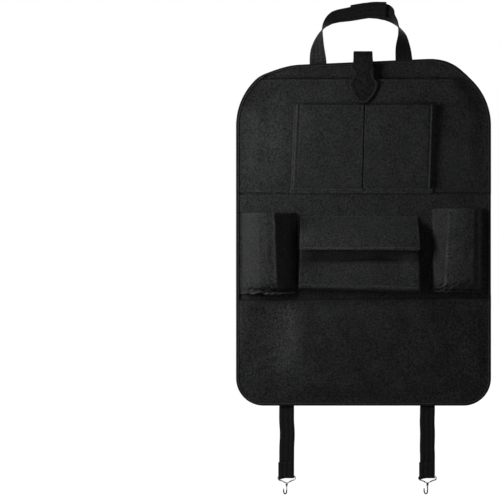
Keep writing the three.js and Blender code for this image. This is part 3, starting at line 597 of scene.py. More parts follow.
def on_surface(tree, line, pitch):
    """Points every pitch along an x, z line, dropped on a surface from the front, with normals."""
    line = np.asarray(line, float)
    walked = walked_along(line)
    count = max(2, int(round(walked[-1] / pitch)) + 1)
    s = np.linspace(0, walked[-1], count)
    xs, zs = np.interp(s, walked, line[:, 0]), np.interp(s, walked, line[:, 1])
    found = []
    for x, z in zip(xs, zs):
        hit, normal, _, _ = tree.ray_cast(Vector((x, -200.0, z)), Vector((0, 1, 0)))
        found.append(None if hit is None else (np.array(hit), np.array(normal)))
    return found


def tube_parts(rings, sides, closed, base):
    """Vertices and faces of a tube through rings of (centre, radius, one side, other side), from number base."""
    angles = [2 * math.pi * k / sides for k in range(sides)]
    vertices = [c + r * (a * math.cos(t) + b * math.sin(t)) for c, r, a, b in rings for t in angles]
    faces = []
    for i in range(len(rings) if closed else len(rings) - 1):
        low, high = base + i * sides, base + (i + 1) % len(rings) * sides
        for k in range(sides):
            n = (k + 1) % sides
            faces.append((low + k, low + n, high + n, high + k))
    if not closed:
        last = base + (len(rings) - 1) * sides
        faces += [tuple(range(base, base + sides))[::-1], tuple(range(last, last + sides))]
    return vertices, faces


def stitch_piece(name, runs, colour=THREAD, radius=THREAD_RADIUS):
    """One mesh of many short threads. Each run is a list of (point, normal) in order."""
    vertices, faces = [], []
    for row in runs:
        for here, there in zip(row[:-1], row[1:]):
            if here is None or there is None:
                continue
            span = there[0] - here[0]
            reach = np.linalg.norm(span)
            if reach > 3 * STITCH_LENGTH or reach < 0.5:
                continue
            along = span / reach
            out = here[1] + there[1]
            out = out - along * (out @ along)
            if np.linalg.norm(out) < 0.2:
                continue
            out = unit(out)
            across = np.cross(along, out)
            middle = (here[0] + there[0]) / 2
            rings = [(middle + along * t * STITCH_LENGTH + out * lift * radius, radius * share, across, out)
                     for t, lift, share in THREAD_RINGS]
            more, skin = tube_parts(rings, THREAD_SIDES, False, len(vertices))
            vertices += more
            faces += skin
    return stand_for(new_object(name, np.array(vertices), faces), colour, None)


def rounded_line(inset, samples):
    """The panel's outline drawn in by inset, counter-clockwise from the lower right corner."""
    top_x, top_z = HALF_WIDTH - TOP_RADIUS, PANEL_TOP - TOP_RADIUS
    low_x, low_z = HALF_WIDTH - LOW_RADIUS, PANEL_BOTTOM + LOW_RADIUS
    points = []
    for cx, cz, radius, a in ((low_x, low_z, LOW_RADIUS, -90), (top_x, top_z, TOP_RADIUS, 0),
                              (-top_x, top_z, TOP_RADIUS, 90), (-low_x, low_z, LOW_RADIUS, 180)):
        angle = np.radians(a + np.linspace(0, 90, 31))
        points.append(np.stack([cx + (radius - inset) * np.cos(angle), cz + (radius - inset) * np.sin(angle)], 1))
    line = np.concatenate(points + [points[0][:1]])
    walked = walked_along(line)
    s = np.linspace(0.0, 1.0, samples) * walked[-1]
    x, z = np.interp(s, walked, line[:, 0]), np.interp(s, walked, line[:, 1])
    return np.stack([x, z + top_lift(x, z)], 1)


# Back panel


def row_heights(low, high, step):
    """Heights for rows of a panel: even on the straight sides and by angle round the corners."""
    z = np.linspace(low, high, int((high - low) / step) + 1)
    angles = np.radians(np.linspace(0, 88, 40))
    top = PANEL_TOP - TOP_RADIUS + TOP_RADIUS * np.sin(angles)
    foot = PANEL_BOTTOM + LOW_RADIUS - LOW_RADIUS * np.sin(angles)
    z = np.concatenate([z, top[(top > low) & (top < high)], foot[(foot > low) & (foot < high)]])
    z = np.unique(np.round(z, 2))
    keep = np.concatenate([[True], np.diff(z) > 0.35])
    return z[keep]


def panel_grid(low, high, inset, step=STEP, columns=190):
    z = row_heights(low, high, step)[:, None]
    share = np.linspace(-1, 1, columns)[None]
    x = share * edge_x(z, inset)
    return x, np.broadcast_to(z, x.shape).copy()


def build_back_panel():
    inset = BINDING_THICKNESS + CLEAR
    x, z = panel_grid(PANEL_BOTTOM + inset, PANEL_TOP - inset, inset, 3.2, 136)
    inside = edge_distance(x, z)
    band = smooth((z - LOWER_TOP - 4) / 12) * smooth((MAGAZINE_BOTTOM - 2 - z) / 12)
    band = band + smooth((z - MAGAZINE_MOUTH - 3) / 8)
    free = band * smooth((inside - BINDING_LEG) / 10)
    front = -(FELT + free * (0.45 + 0.45 * ripple(x, z, 70, 11)))
    front = front + 0.2 * free * ripple(x, z, 24, 12)
    rear = -(BINDING_THICKNESS + CLEAR) * smooth((BINDING_LEG + 1.2 - inside) / 1.0)
    rear = rear - 0.25 * smooth((inside - 10) / 20) * (1 + ripple(x, z, 90, 13)) / 2
    height = z + top_lift(x, z)
    outer = np.stack([x, front, height], 2)
    inner = np.stack([x, np.minimum(rear, 0.0), height], 2)
    piece = shell("back_panel_felt", outer, inner, 0.1)
    area = 2 * HALF_WIDTH * (PANEL_TOP - PANEL_BOTTOM) * 0.97
    flat = (2 * HALF_WIDTH, PANEL_TOP - PANEL_BOTTOM + 6)
    held_by = ("left_handle_webbing", "right_handle_webbing")
    return dress(piece, "back_panel", FELT_DARK, "felt", flat, area=area, rests_on=held_by)


# Edge tape


def layers_under_tape(x, z):
    def beside(low, high):
        return smooth((z - low + BINDING_STEP) / 3) * smooth((high + BINDING_STEP - z) / 3)

    magazine = beside(MAGAZINE_BOTTOM, MAGAZINE_MOUTH + 2 * BINDING_STEP)
    lower = smooth((LOWER_TOP + 2 * BINDING_STEP - z) / 3)
    bottle = np.where(x < 0, beside(-97.0, 34.0), 0.0)
    share = np.maximum(magazine, np.maximum(lower, bottle))
    return FELT + share * (SECOND - FELT)


WORN_CORNERS = (4, 5, 10, 11)
TAPE_SAMPLES = 860


def build_binding():
    line = rounded_line(0.0, TAPE_SAMPLES)[:-1]
    count = len(line)
    along = unit(np.roll(line, -1, 0) - np.roll(line, 1, 0))
    inward = np.stack([-along[:, 1], along[:, 0]], 1)
    walked = walked_along(line)
    s = walked / walked[-1] * 2 * np.pi
    wobble = 0.18 * np.sin(61 * s) + 0.14 * np.sin(97 * s + 1) + 0.12 * np.sin(173 * s + 2)
    leg = BINDING_LEG + 0.22 * np.sin(43 * s + 0.5) + 0.15 * np.sin(131 * s)
    under = -(layers_under_tape(line[:, 0], line[:, 1]) + CLEAR)
    front = under - BINDING_THICKNESS - 0.12 * (1 + wobble)
    t = BINDING_THICKNESS
    # How far in from the edge and how far forward each corner of the folded tape is
    section = [
        (leg, -0.05), (leg * 0.6, 0.0), (0.9, 0.0), (0.25, -0.25), (0.0, -0.9), (0.0, front + 0.9),
        (0.25, front + 0.25), (0.9, front), (leg * 0.45, front - 0.18 - 0.1 * wobble), (leg * 0.8, front + 0.1),
        (leg * 0.96, front + 0.3), (leg, front + 0.75), (leg * 0.97, under), (t, under), (t, -t), (leg * 0.97, -t),
    ]
    vertices, weave, wear, faces = [], [], [], []
    i = np.arange(count)
    j = (i + 1) % count
    for k, (depth, y) in enumerate(section):
        spot = line + inward * np.broadcast_to(depth, count)[:, None]
        vertices.append(np.stack([spot[:, 0], np.broadcast_to(y, count), spot[:, 1]], 1))
        weave.append(np.stack([np.full(count, 0.9 * (k + 1)), walked, np.zeros(count)], 1))
        wear.append(np.full(count, 0.8 if k in WORN_CORNERS else 0.0))
        here, there = k * count, (k + 1) % len(section) * count
        faces += np.stack([here + i, there + i, there + j, here + j], 1).tolist()
    vertices, weave, wear = (np.concatenate(parts) for parts in (vertices, weave, wear))
    piece = new_object("edge_tape_binding", vertices, faces, wear=wear, weave=weave)
    girth = 2 * (BINDING_LEG + 1) + 7
    flat = (girth, walked[-1])
    return dress(piece, "edge_binding", BINDING_WEAVE, "edge_tape", flat, held="folded", rests_on=("back_panel_felt",))


# Magazine pocket


def magazine_painted_light(x, z):
    """Painted shadow along the lower edge, painted shade at the upper corners, a painted pool of light beside the left
    phone pocket, and a little random tone.
    """
    # Painted shadow along the lower edge, painted shade at the upper corners, painted light beside the left phone
    # pocket
    edge_shade = 0.6 * smooth((MAGAZINE_BOTTOM + 2.2 - z) / 1.6)
    corner = 0.32 * smooth((np.abs(x) - 135) / 55) * smooth((z - 170) / 60)
    lit_patch = 0.24 * bell(x + 150, 20) * bell(z - 150, 50)
    return lit_patch - edge_shade - corner + 0.08 * ripple(x, z, 60, 73)


def build_magazine_panel():
    inset = BINDING_THICKNESS + CLEAR
    x, z = panel_grid(MAGAZINE_BOTTOM, MAGAZINE_MOUTH, inset)
    side = smooth((edge_distance(x, z) - MARGIN) / 25)
    free = side * smooth((z - MAGAZINE_BOTTOM - MARGIN) / 25)
    swell = 0.55 * ripple(x, z, 95, 21) + 0.22 * ripple(x, z, 34, 22)
    droop = 0.9 * smooth((z - 190) / 60) * np.sin(x / 47 + 0.6) * side
    depth = SECOND + magazine_lift(x, z) + free * (swell + droop * 0.4)
    grid = np.stack([x, -depth, z + top_lift(x, z)], 2)
    mouth = [(-MOUTH_SEAM_REACH, MAGAZINE_MOUTH_SEAM), (MOUTH_SEAM_REACH, MAGAZINE_MOUTH_SEAM)]
    seams = [bottom_seam(-SEAM_REACH, SEAM_REACH, MAGAZINE_SEAM_Z), mouth]
    seams += [phone_seam(LEFT_PHONE, "left"), phone_seam(RIGHT_PHONE, "right")]
    grid = sew(grid, seams)
    piece = sheet_piece("magazine_pocket_felt", grid, lambda x, z: FIRST + np.maximum(0, magazine_lift(x, z) - 0.8))
    paint_light_and_tone(piece, magazine_painted_light)
    flat, area = (2 * HALF_WIDTH, 190), 2 * HALF_WIDTH * 186
    return dress(piece, "magazine_pocket_panel", FELT_LIGHT, "felt", flat, area=area)


def bottom_seam(x0, x1, z, sway=0.35):
    x = np.linspace(x0, x1, 90)
    return np.stack([x, z + sway * np.sin(x / 23.0) + 0.2 * np.sin(x / 9.0)], 1)


# Phone pockets

LEFT_PHONE = {"top_left": -113.0, "top_right": 1.1, "low_left": -119.0, "low_right": -2.2}
RIGHT_PHONE = {"top_left": 1.6, "top_right": 117.0, "low_left": -1.5, "low_right": 113.0}


def phone_edge(edges, side, z):
    up = (z - MAGAZINE_BOTTOM) / (PHONE_TOP - MAGAZINE_BOTTOM)
    return mix(edges["low_" + side], edges["top_" + side], up)


def phone_seam(edges, side, inwards=0.0):
    z = np.linspace(MAGAZINE_BOTTOM + 5, PHONE_TOP - 1, 40)
    sign = 1 if side == "left" else -1
    return np.stack([phone_edge(edges, side, z) + sign * inwards, z], 1)


# Margin, lean and pinch of the pleats, and how much of its depth an empty pocket has
OUTER_PLEAT = (3.0, 0.8, 0.12)
MIDDLE_PLEAT = (0.1, 0.2, 0.02)
EMPTY_SHARE = 0.7
# How far past its ridge each point of a pleat is, and how far it stands out
PHONE_PLEAT = ((0.7, 0.6), (1.6, 1), (2.6, 0.5), (3.4, -0.9), (4.3, -1), (5.2, -0.2), (8, 0), (20, 0))


def build_phone_pocket(hand, edges, seed):
    is_left = hand == "left"
    left_side, right_side = (OUTER_PLEAT, MIDDLE_PLEAT) if is_left else (MIDDLE_PLEAT, OUTER_PLEAT)
    span = PHONE_TOP - MAGAZINE_BOTTOM

    def side(margin, lean, pinch):
        ridge = margin + lean
        pleat = [(ridge + off, 1 + share * pinch) for off, share in PHONE_PLEAT]
        return [(0, 0), (margin, 0), (ridge - 0.3 * lean, 0.6), (ridge, 0.93), *pleat]

    rows = []
    for rise in (0, 4, 6, 8.5, 11, 13, 18, 24, 38, 54, 88, 120, 136, span):
        z = MAGAZINE_BOTTOM + rise
        left, right = phone_edge(edges, "left", z), phone_edge(edges, "right", z)
        full = EMPTY_SHARE * mix(PHONE_LOW_DEPTH, PHONE_DEPTH, rise / span)
        depth = full * smooth((rise - PHONE_MARGIN) / PHONE_BOTTOM_RISE)
        columns = [(left + d, share) for d, share in side(*left_side)] + [((left + right) / 2, 1)]
        columns += [(right - d, share) for d, share in side(*right_side)][::-1]
        under = SECOND + CLEAR + FELT
        rows.append([(x, -(under + float(magazine_lift(x, z)) + depth * share), z) for x, share in columns])
    grid = fine_grid(rows, 2.0, 1)
    x, z = grid[..., 0], grid[..., 2]
    middle = (edges["top_left"] + edges["top_right"]) / 2
    inside = smooth((55 - np.abs(x - middle)) / 22)
    free = inside * smooth((z - MAGAZINE_BOTTOM - 8) / 25)
    bow = 1.1 * smooth((z - 120) / 90) * np.cos((x - middle) / 38)
    grid[..., 1] -= free * (0.5 * ripple(x, z, 60, seed) + 0.2 * ripple(x, z, 22, seed + 1) + 0.4 * bow)
    mouth = [(x.min() + 10, PHONE_MOUTH_SEAM), (x.max() - 10, PHONE_MOUTH_SEAM)]
    seams = [bottom_seam(x.min() + 2, x.max() - 2, PHONE_SEAM_Z), mouth, phone_seam(edges, hand, 7.7)]
    grid = sew(grid, seams, 0.5, 0.3, seed)
    piece = sheet_piece(hand + "_phone_felt", grid, lambda x, z: SECOND + magazine_lift(x, z) + CLEAR)
    return dress(piece, hand + "_phone_pocket", FELT_LIGHT, "felt", (140, 150), rests_on=("magazine_pocket_felt",))


# Bottle pockets

# Place across the ridge and lift of each point of its pinched fold
RIDGE_FOLD = ((-3.2, 0), (-1.8, 0.25), (-0.8, 1), (0.8, 1), (1.8, 0.25), (3.2, 0))
# shares are how far out the front and its ridge stand, from the outer side to the inner
# The crease and front entries are painted highlight along the ridge and across the front beside it; tone makes the
# whole pocket evenly darker or paler
LEFT_BOTTLE = {
    "outer": -HALF_WIDTH + 1.3, "margin": 9.0, "ridge_top": -HALF_WIDTH + 63, "ridge_low": -HALF_WIDTH + 67,
    "inner": -HALF_WIDTH + 99, "top": 34.0, "bottom": -97.0, "width": 138,
    "shares": (0.30, 0.57, 0.90, 1.0, 0.985, 1.0, 0.84, 0.38), "crease_highlight": 0.15, "front_highlight": 0.0, "tone": -0.12,
}
RIGHT_BOTTLE = {
    "outer": HALF_WIDTH - 14, "margin": 3.0, "ridge_top": HALF_WIDTH - 70, "ridge_low": HALF_WIDTH - 78,
    "inner": HALF_WIDTH - 96, "top": 41.0, "bottom": -94.0, "width": 136,
    "shares": (0.92, 1.03, 1.03, 0.955, 0.89, 0.84, 0.66, 0.34), "crease_highlight": 0.75, "front_highlight": 0.38, "tone": 0.0,
}


def ridge_x(pocket, z):
    return mix(pocket["ridge_low"], pocket["ridge_top"], (z - pocket["bottom"]) / (pocket["top"] - pocket["bottom"]))


def towards_middle(pocket):
    return 1 if pocket["inner"] > pocket["outer"] else -1


def bottle_seams(pocket):
    towards = towards_middle(pocket)
    return pocket["inner"] - towards * BOTTLE_INNER_SEAM, pocket["outer"] + towards * BOTTLE_OUTER_SEAM


def build_bottle_pocket(hand, pocket, seed):
    outer, inner, bottom, top = (pocket[key] for key in ("outer", "inner", "bottom", "top"))
    towards = towards_middle(pocket)
    margin = outer + towards * pocket["margin"]
    turn = towards * BOTTLE_ROUND
    rows = []
    for rise in (0, 0.8, 2, 3.5, 5.5, 8, 11, 15, 20, 26, 40, 60, 80, 105, top - bottom):
        z = bottom + rise
        ridge = ridge_x(pocket, z)
        depth = BOTTLE_DEPTH * (1 - (1 - min(1, rise / BOTTLE_CLOSING)) ** BOTTLE_CURVE[0]) ** BOTTLE_CURVE[1]
        places = [mix(margin, ridge, t) for t in (0.12, 0.25, 0.5, 0.75)]
        places += [ridge - turn, ridge, ridge + turn, mix(ridge, inner, 0.65)]
        section = [(outer, 0), (margin, 0), *zip(places, pocket["shares"]), (inner, 0)]
        flat_x, flat_share = np.array(section, float).T
        pinch = min(1, rise / 25) * RIDGE_PINCH / BOTTLE_DEPTH
        for off, lift in RIDGE_FOLD:
            at = ridge + towards * off
            section.append((at, float(np.interp(at * towards, flat_x * towards, flat_share)) + lift * pinch))
        section.sort(key=lambda pair: pair[0] * towards)
        rows.append([(x, -(SECOND + depth * share), z) for x, share in section])
    grid = fine_grid(rows, 1.7, 1)
    x, z = grid[..., 0], grid[..., 2]
    above = z - bottom
    from_edge = np.minimum(np.abs(x - outer) - 4, np.abs(x - inner))
    walked = np.cumsum(np.linalg.norm(np.diff(grid, axis=1, prepend=grid[:, :1]), axis=2), axis=1)
    fold = np.cos(walked / 1.75 + 1.3 * np.sin(walked / 9 + seed)) + 0.6 * np.cos(walked / 3.3 + above / 9)
    near = smooth(1 - (above - 2) / 26) * smooth((from_edge - 3) / 8)
    push = 1.2 * near * fold
    sway = 0.8 * np.sin(walked / 4.1 + seed) + 0.7 * np.sin(walked / 2.3)
    hem = 1.5 * bell(above - 4.0 - sway, 1.5) - 1.2 * bell(above - 7.0 - sway, 1.5)
    hem = hem + 1.1 * bell(above - 10.5 - 1.4 * sway, 1.7)
    push = push + hem * smooth((from_edge - 2) / 6)
    free = smooth(from_edge / 14) * smooth(above / 30)
    push = push + free * (0.9 * ripple(walked, z, 55, seed) + 0.3 * ripple(walked, z, 21, seed + 1))
    lean = smooth((above - 60) / 70) * smooth(from_edge / 20)
    push = push + 1.0 * lean * np.sin(walked / 19 + seed)
    grid = grid + normals(grid) * push[..., None]
    grid[..., 1] = np.minimum(grid[..., 1], -SECOND + 0.2)
    seams = [[(seam, bottom + 4), (seam, top - 1)] for seam in bottle_seams(pocket)]
    grid = sew(grid, seams, 0.4, 0.2, seed)
    grid[..., 1] = np.minimum(grid[..., 1], -FIRST - 0.4)
    piece = sheet_piece(hand + "_bottle_felt", grid[:, ::towards], FIRST)
    paint_light_and_tone(piece, lambda x, z: ridge_highlight(x, z, pocket))
    add_bottle_hem(piece, grid, bottom, seed)
    node, flat = hand + "_bottle_pocket", (pocket["width"], 160)
    return dress(piece, node, FELT_LIGHT, "felt", flat, held="gathered", rests_on=("back_panel_felt",))


def ridge_highlight(x, z, pocket):
    """Painted highlight along the creased ridge, fading towards the right of it, added to an even change of tone over
    the whole pocket.
    """
    beside = x - ridge_x(pocket, z)
    crease = bell(beside, 1.9) * (1 + 0.4 * np.sin(z / 7.3))
    fading = smooth((beside + 1) / 2) * bell(beside, 15)
    return pocket["tone"] + pocket["crease_highlight"] * crease + pocket["front_highlight"] * fading


def add_bottle_hem(piece, grid, bottom, seed):
    """The gathered seam allowance that stands out along the pocket's bottom, joined to its felt."""
    row = int(np.argmin(np.abs(grid[:, grid.shape[1] // 2, 2] - bottom - 3.0)))
    line = grid[row]
    line = line[line[:, 1] < -SECOND - 2]
    walked = walked_along(line)
    s = np.arange(0, walked[-1], 0.9)
    centre = soften(np.stack([np.interp(s, walked, line[:, k]) for k in range(3)], 1), 6)
    waves = 0.65 * np.sin(s / 2.6 + 1.9 * np.sin(s / 8.5 + seed)) + 0.45 * np.sin(s / 4.7 + seed)
    ruffle = waves * smooth(np.minimum(s, s[-1] - s) / 6)
    outward = unit(np.cross(np.gradient(centre, axis=0), [0.0, 0.0, 1.0]))
    outward = outward * -np.sign(outward[:, 1:2] + 1e-9)
    centre = centre + outward * HEM_OUT
    centre[:, 2] = bottom + 1.6 + 0.9 * ruffle + 0.8 * np.sin(s / 13 + seed)
    across = outward * (0.85 + 0.25 * ruffle)[:, None]
    across[:, 2] -= 0.45 - 0.5 * ruffle
    hem = strap_mesh(piece.name + "_hem", centre, across, HEM_WIDTH, HEM_THICKNESS, 7)
    with bpy.context.temp_override(active_object=piece, selected_editable_objects=[piece, hem]):
        bpy.ops.object.join()


# Tissue pocket


def tissue_sag(z, from_corner):
    """How far the empty pocket's front sinks in towards its slit."""
    start = TISSUE_BOTTOM + TISSUE_CORNER
    above = (FOLD_TOP_Z - z) / (FOLD_TOP_Z - FOLD_Z)
    up_down = np.clip(np.minimum((z - start) / (FOLD_Z - start), above), 0, 1)
    return FOLD_DEPTH * up_down * mix(0.45, 1.0, smooth(from_corner / 40))


def tissue_half(z):
    return mix(TISSUE_LOW_HALF, TISSUE_TOP_HALF, (z - TISSUE_BOTTOM) / (LID_TOP - TISSUE_BOTTOM))


def tissue_hem_line():
    x = np.linspace(-103, 89, 90)
    return np.stack([x, TISSUE_BOTTOM + 5.0 - TISSUE_SLANT * (x + 106) / 199 + 0.3 * np.sin(x / 17)], 1)


def slit_sway(x):
    """How far the slit and the fold that it lies in wander up and down."""
    return 0.9 * np.sin(x / 41 + 0.4) + 0.6 * np.sin(x / 17)


def slit_crease(x, z):
    """The crease that runs on from both ends of the slit, 1 at its deepest."""
    return bell(z - FOLD_Z - slit_sway(x), 3.0) * smooth((x + 62) / 40) * smooth((80 - x) / 40)


def build_tissue_box():
    corner = TISSUE_CORNER
    fold = (FOLD_Z - TISSUE_BOTTOM) / (TISSUE_FRONT_TOP - TISSUE_BOTTOM)
    # Distance in from the side, and share of the depth, of each column from a side to the middle
    columns = [(0, 0), (0, 0.33), (0, 0.66), (0, 1 - corner / TISSUE_DEPTH)]
    columns += [(corner * 0.3, 1 - corner * 0.3 / TISSUE_DEPTH), (corner, 1), (15, 1), (28, 1), (50, 1)]
    levels = [0, 0, 0.05, 0.2, 0.4, fold - 0.03, fold, fold + 0.03, 0.74, 0.86, 1]

    def place(r, level, d, share, sign):
        is_side = share < 1 - corner * 0.5 / TISSUE_DEPTH
        top = mix(20, LID_BEND - 3.5, share) if is_side else TISSUE_FRONT_TOP
        z = TISSUE_BOTTOM - TISSUE_SEAM_DROP if r == 0 else mix(TISSUE_BOTTOM, top, level)
        z -= TISSUE_SLANT * (0.5 + sign * 0.5 * (1 - d / TISSUE_LOW_HALF)) * max(0.0, 1 - level / 0.6)
        full = TISSUE_DEPTH - float(tissue_sag(mix(TISSUE_BOTTOM, TISSUE_FRONT_TOP, level), d))
        depth = share * full * (0.05 if r == 0 else 1)
        return (TISSUE_CENTRE + sign * (tissue_half(z) - d), -(FIRST + depth), z)

    rows = []
    for r, level in enumerate(levels):
        left = [place(r, level, d, share, -1) for d, share in columns]
        right = [place(r, level, d, share, 1) for d, share in columns][::-1]
        rows.append(left + [(TISSUE_CENTRE, left[-1][1], (left[-1][2] + right[0][2]) / 2)] + right)
    grid = fine_grid(rows, 1.9, 2)
    x, y, z = grid[..., 0], grid[..., 1], grid[..., 2]
    from_side = tissue_half(z) - np.abs(x - TISSUE_CENTRE)
    on_front = smooth((from_side - 4) / 14) * smooth((z - TISSUE_BOTTOM + 2) / 6)
    below = smooth((-28 - z) / 8)
    buckle = 1.0 * np.sin(x / 33 + 0.8) + 0.7 * np.sin(x / 14.0 + 2.0) + 0.8 * ripple(x, z, 40, 42)
    near_fold = bell(z - FOLD_Z, 14)
    grid[..., 1] = y - on_front * below * (0.6 * ripple(x, z, 60, 41) + buckle * (0.25 + 0.9 * near_fold))
    grid[..., 2] = z + on_front * near_fold * slit_sway(x)
    grid[..., 1] += 3.2 * on_front * slit_crease(x, z)
    grid = sew(grid, [tissue_hem_line()], 0.45, 0.3, 5, on_front)
    piece = sheet_piece("tissue_pocket_felt", grid, FIRST)
    # Painted shade under the lid and along the crease that runs on from the slit
    paint_light_and_tone(piece, lambda x, z: -0.36 * smooth((z - FOLD_Z + 3) / 6) - 0.35 * slit_crease(x, z))
    cut_slit(piece)
    given = {"held": "folded", "area": 2 * 96 * 77 + 2 * 30 * 100 + 190 * 34, "rests_on": ("back_panel_felt",)}
    return dress(piece, "tissue_pocket_box", FELT_LIGHT, "felt", (260, 140), **given)


def cut_slit(piece):
    """Cuts the slit through the front with a bar of lens-shaped section, and then drops the bar."""
    span = np.linspace(-1, 1, 25)
    half = SLIT_HEIGHT / 2 * np.sqrt(np.maximum(0, 1 - span**2)) + 0.15
    x = TISSUE_CENTRE + span * SLIT_WIDTH / 2
    z = FOLD_Z + slit_sway(x)
    ring = np.concatenate([np.stack([x, z - half], 1), np.stack([x, z + half], 1)[::-1]])
    count = len(ring)
    vertices = [(px, y, pz) for y in (-60.0, -9.0) for px, pz in ring]
    faces = [tuple(range(count)), tuple(range(2 * count - 1, count - 1, -1))]
    faces += [(k, k + count, (k + 1) % count + count, (k + 1) % count) for k in range(count)]
    bar = new_object("slit_cutter", vertices, faces)
    cut = piece.modifiers.new("slit", "BOOLEAN")
    cut.operation, cut.solver, cut.object = "DIFFERENCE", "EXACT", bar
    bpy.context.view_layer.update()
    made = bpy.data.meshes.new_from_object(piece.evaluated_get(bpy.context.evaluated_depsgraph_get()))
    piece.modifiers.remove(cut)
    piece.data = made
    bpy.data.objects.remove(bar)


def build_tissue_flap():
    out = FIRST + TISSUE_DEPTH + 0.5 + FELT
    knee = LID_TOP - LID_FLAT
    profile = [(SECOND, LID_TOP), (SECOND, knee)]
    profile += [(mix(SECOND, out, t), mix(knee, LID_BEND, t)) for t in (0.33, 0.66)]
    profile += [(out - 1.5, LID_BEND + 1.3), (out, LID_BEND - 2)]
    profile += [(out, mix(LID_BEND, LID_BOTTOM, 0.5)), (out, LID_BOTTOM)]
    rows = []
    for y, z in profile[::-1]:
        up = (z - LID_BOTTOM) / (LID_TOP - LID_BOTTOM)
        half = mix(TISSUE_TOP_HALF + 2, TISSUE_TOP_HALF, up)
        rows.append([(TISSUE_CENTRE + share * half, -y, z) for share in np.linspace(-1, 1, 9)])
    grid = fine_grid(rows, 2.0, 3)
    x, z = grid[..., 0], grid[..., 2]
    free = smooth((LID_TOP - 8 - z) / 20)
    wave = 0.7 * ripple(x, z, 75, 51) + 0.25 * ripple(x, z, 26, 52) + 1.0 * np.sin(x / 52 + 0.9) * smooth((5 - z) / 25)
    flare = 4.5 * smooth((-4 - z) / 21)
    grid[..., 1] -= np.maximum(-0.4, free * (0.6 + wave + flare))
    grid[..., 2] += smooth((-12 - z) / 12) * (0.6 * np.sin(x / 60 + 2.1) + 0.25 * np.sin(x / 19))
    seams = [bottom_seam(LID_LEFT, LID_RIGHT, LID_TOP_SEAM, 0.3), bottom_seam(LID_LEFT, LID_RIGHT, LID_LOW_SEAM, 0.4)]
    seams += [[(top, LID_TOP - 3), (low, LID_LOW_SEAM)] for top, low in ((-98.5, -100), (85, 86.5))]
    grid = sew(grid, seams, 0.45, 0.3, 6)
    piece = sheet_piece("tissue_flap_felt", grid, FIRST)
    paint_light_and_tone(piece, lambda x, z: 0.12 + 0 * x)
    under = ("tissue_pocket_felt", "back_panel_felt")
    return dress(piece, "tissue_pocket_flap", FELT_LIGHT, "felt", (195, 72), rests_on=under)


# Lower panel


def lower_line(drop):
    """A line along the lower panel's upper edge, drop below it."""
    x = np.linspace(-SEAM_REACH, SEAM_REACH, 90)
    return np.stack([x, LOWER_TOP - drop + LOWER_TOP_SLOPE * x + 0.3 * np.sin(x / 21)], 1)


def lit_band_x(z):
    return -128 + (z + 190) * 0.1


def valley_x(z):
    """Left of this the panel lies flat, and right of it the panel swells."""
    return -148 - (z + 190) * 0.1


def lower_painted_light(x, z):
    """Painted light: a soft upright pale band on the left where light falls on the crest, a slightly darker strip
    beside it, painted shadow along the upper edge, and a little random tone.
    """
    middle = lit_band_x(z)
    tall = smooth((LOWER_TOP + 4 - z) / 14) * smooth((z - PANEL_BOTTOM - 30) / 45)
    # Painted light in a soft upright band, a painted darker strip beside it and painted shadow along the upper edge
    lit_band = 0.5 * bell(x - middle, 22) * (1 + 0.3 * ripple(x, z, 30, 71))
    flat = 0.12 * bell(x + 92, 14)
    edge = LOWER_TOP + LOWER_TOP_SLOPE * x
    edge_shade = 0.6 * smooth((z - edge + 2.2) / 1.6)
    return tall * (lit_band - flat) + 0.1 * ripple(x, z, 45, 72) * smooth((x + 150) / 30) - edge_shade


def build_lower_panel():
    inset = BINDING_THICKNESS + CLEAR
    x, z = panel_grid(PANEL_BOTTOM + inset, LOWER_TOP, inset)
    inside = np.minimum(edge_distance(x, z), LOWER_TOP - z + 4)
    share = smooth((inside - MARGIN) / 30)
    wave = 1 + np.cos(x / HALF_WIDTH * 3 * np.pi + z / 60)
    uneven = 0.75 * ripple(x, z, 110, 61) + 0.3 * ripple(x, z, 38, 62)
    valley = x - valley_x(z)
    fold = LOWER_CREST * smooth(valley / 64) * mix(smooth((60 - x) / 148), smooth((198 - x) / 110), 0.7)
    bulge = LOWER_BULGE * smooth((z - PANEL_BOTTOM - 4) / 42) * smooth(valley / 50)
    edge_roll = 4.0 * bell(x + 192, 18) * smooth((z - PANEL_BOTTOM - 50) / 70)
    share = np.maximum(share, smooth((inside - 3) / 12) * smooth((-150 - x) / 20))
    low = smooth((edge_distance(x, z) - 4) / 18) * smooth((LOWER_TOP - z) / 30)
    depth = SECOND + share * (LOWER_WAVE * wave * smooth(valley / 50) + 0.4 + uneven + fold)
    depth = depth + low * bulge + smooth((inside - 3) / 8) * edge_roll
    slope = LOWER_TOP_SLOPE * x * smooth((z - PANEL_BOTTOM) / (LOWER_TOP - PANEL_BOTTOM))
    grid = np.stack([x, -np.maximum(depth, SECOND), z + slope], 2)
    grid = sew(grid, [lower_line(LOWER_SEAM_DROP)], 0.9, 0.4, 7)
    piece = sheet_piece("lower_panel_felt", grid, FIRST)
    paint_light_and_tone(piece, lower_painted_light)
    return dress(piece, "lower_front_panel", FELT_LOW_SHADED, "felt", (2 * HALF_WIDTH, 178))


# Straps


def centripetal(points, steps):
    """A smooth curve through points, sampled steps times between each two."""
    p = np.asarray(points, float)
    p = np.concatenate([[2 * p[0] - p[1]], p, [2 * p[-1] - p[-2]]])
    out, place = [], []
    for i in range(1, len(p) - 2):
        p0, p1, p2, p3 = p[i - 1 : i + 3]
        d0, d1, d2 = (max(1e-4, np.linalg.norm(b - a)) ** 0.5 for a, b in ((p0, p1), (p1, p2), (p2, p3)))
        t1 = ((p1 - p0) / d0 - (p2 - p0) / (d0 + d1) + (p2 - p1) / d1) * d1
        t2 = ((p2 - p1) / d1 - (p3 - p1) / (d1 + d2) + (p3 - p2) / d2) * d1
        t = (np.arange(steps) / steps)[:, None]
        c2, c3 = -3 * p1 + 3 * p2 - 2 * t1 - t2, 2 * p1 - 2 * p2 + t1 + t2
        out.append(p1 + t1 * t + c2 * t**2 + c3 * t**3)
        place += (i - 1 + np.arange(steps) / steps).tolist()
    out.append(p[-2:-1])
    place.append(float(len(p) - 3))
    return np.concatenate(out), np.array(place)


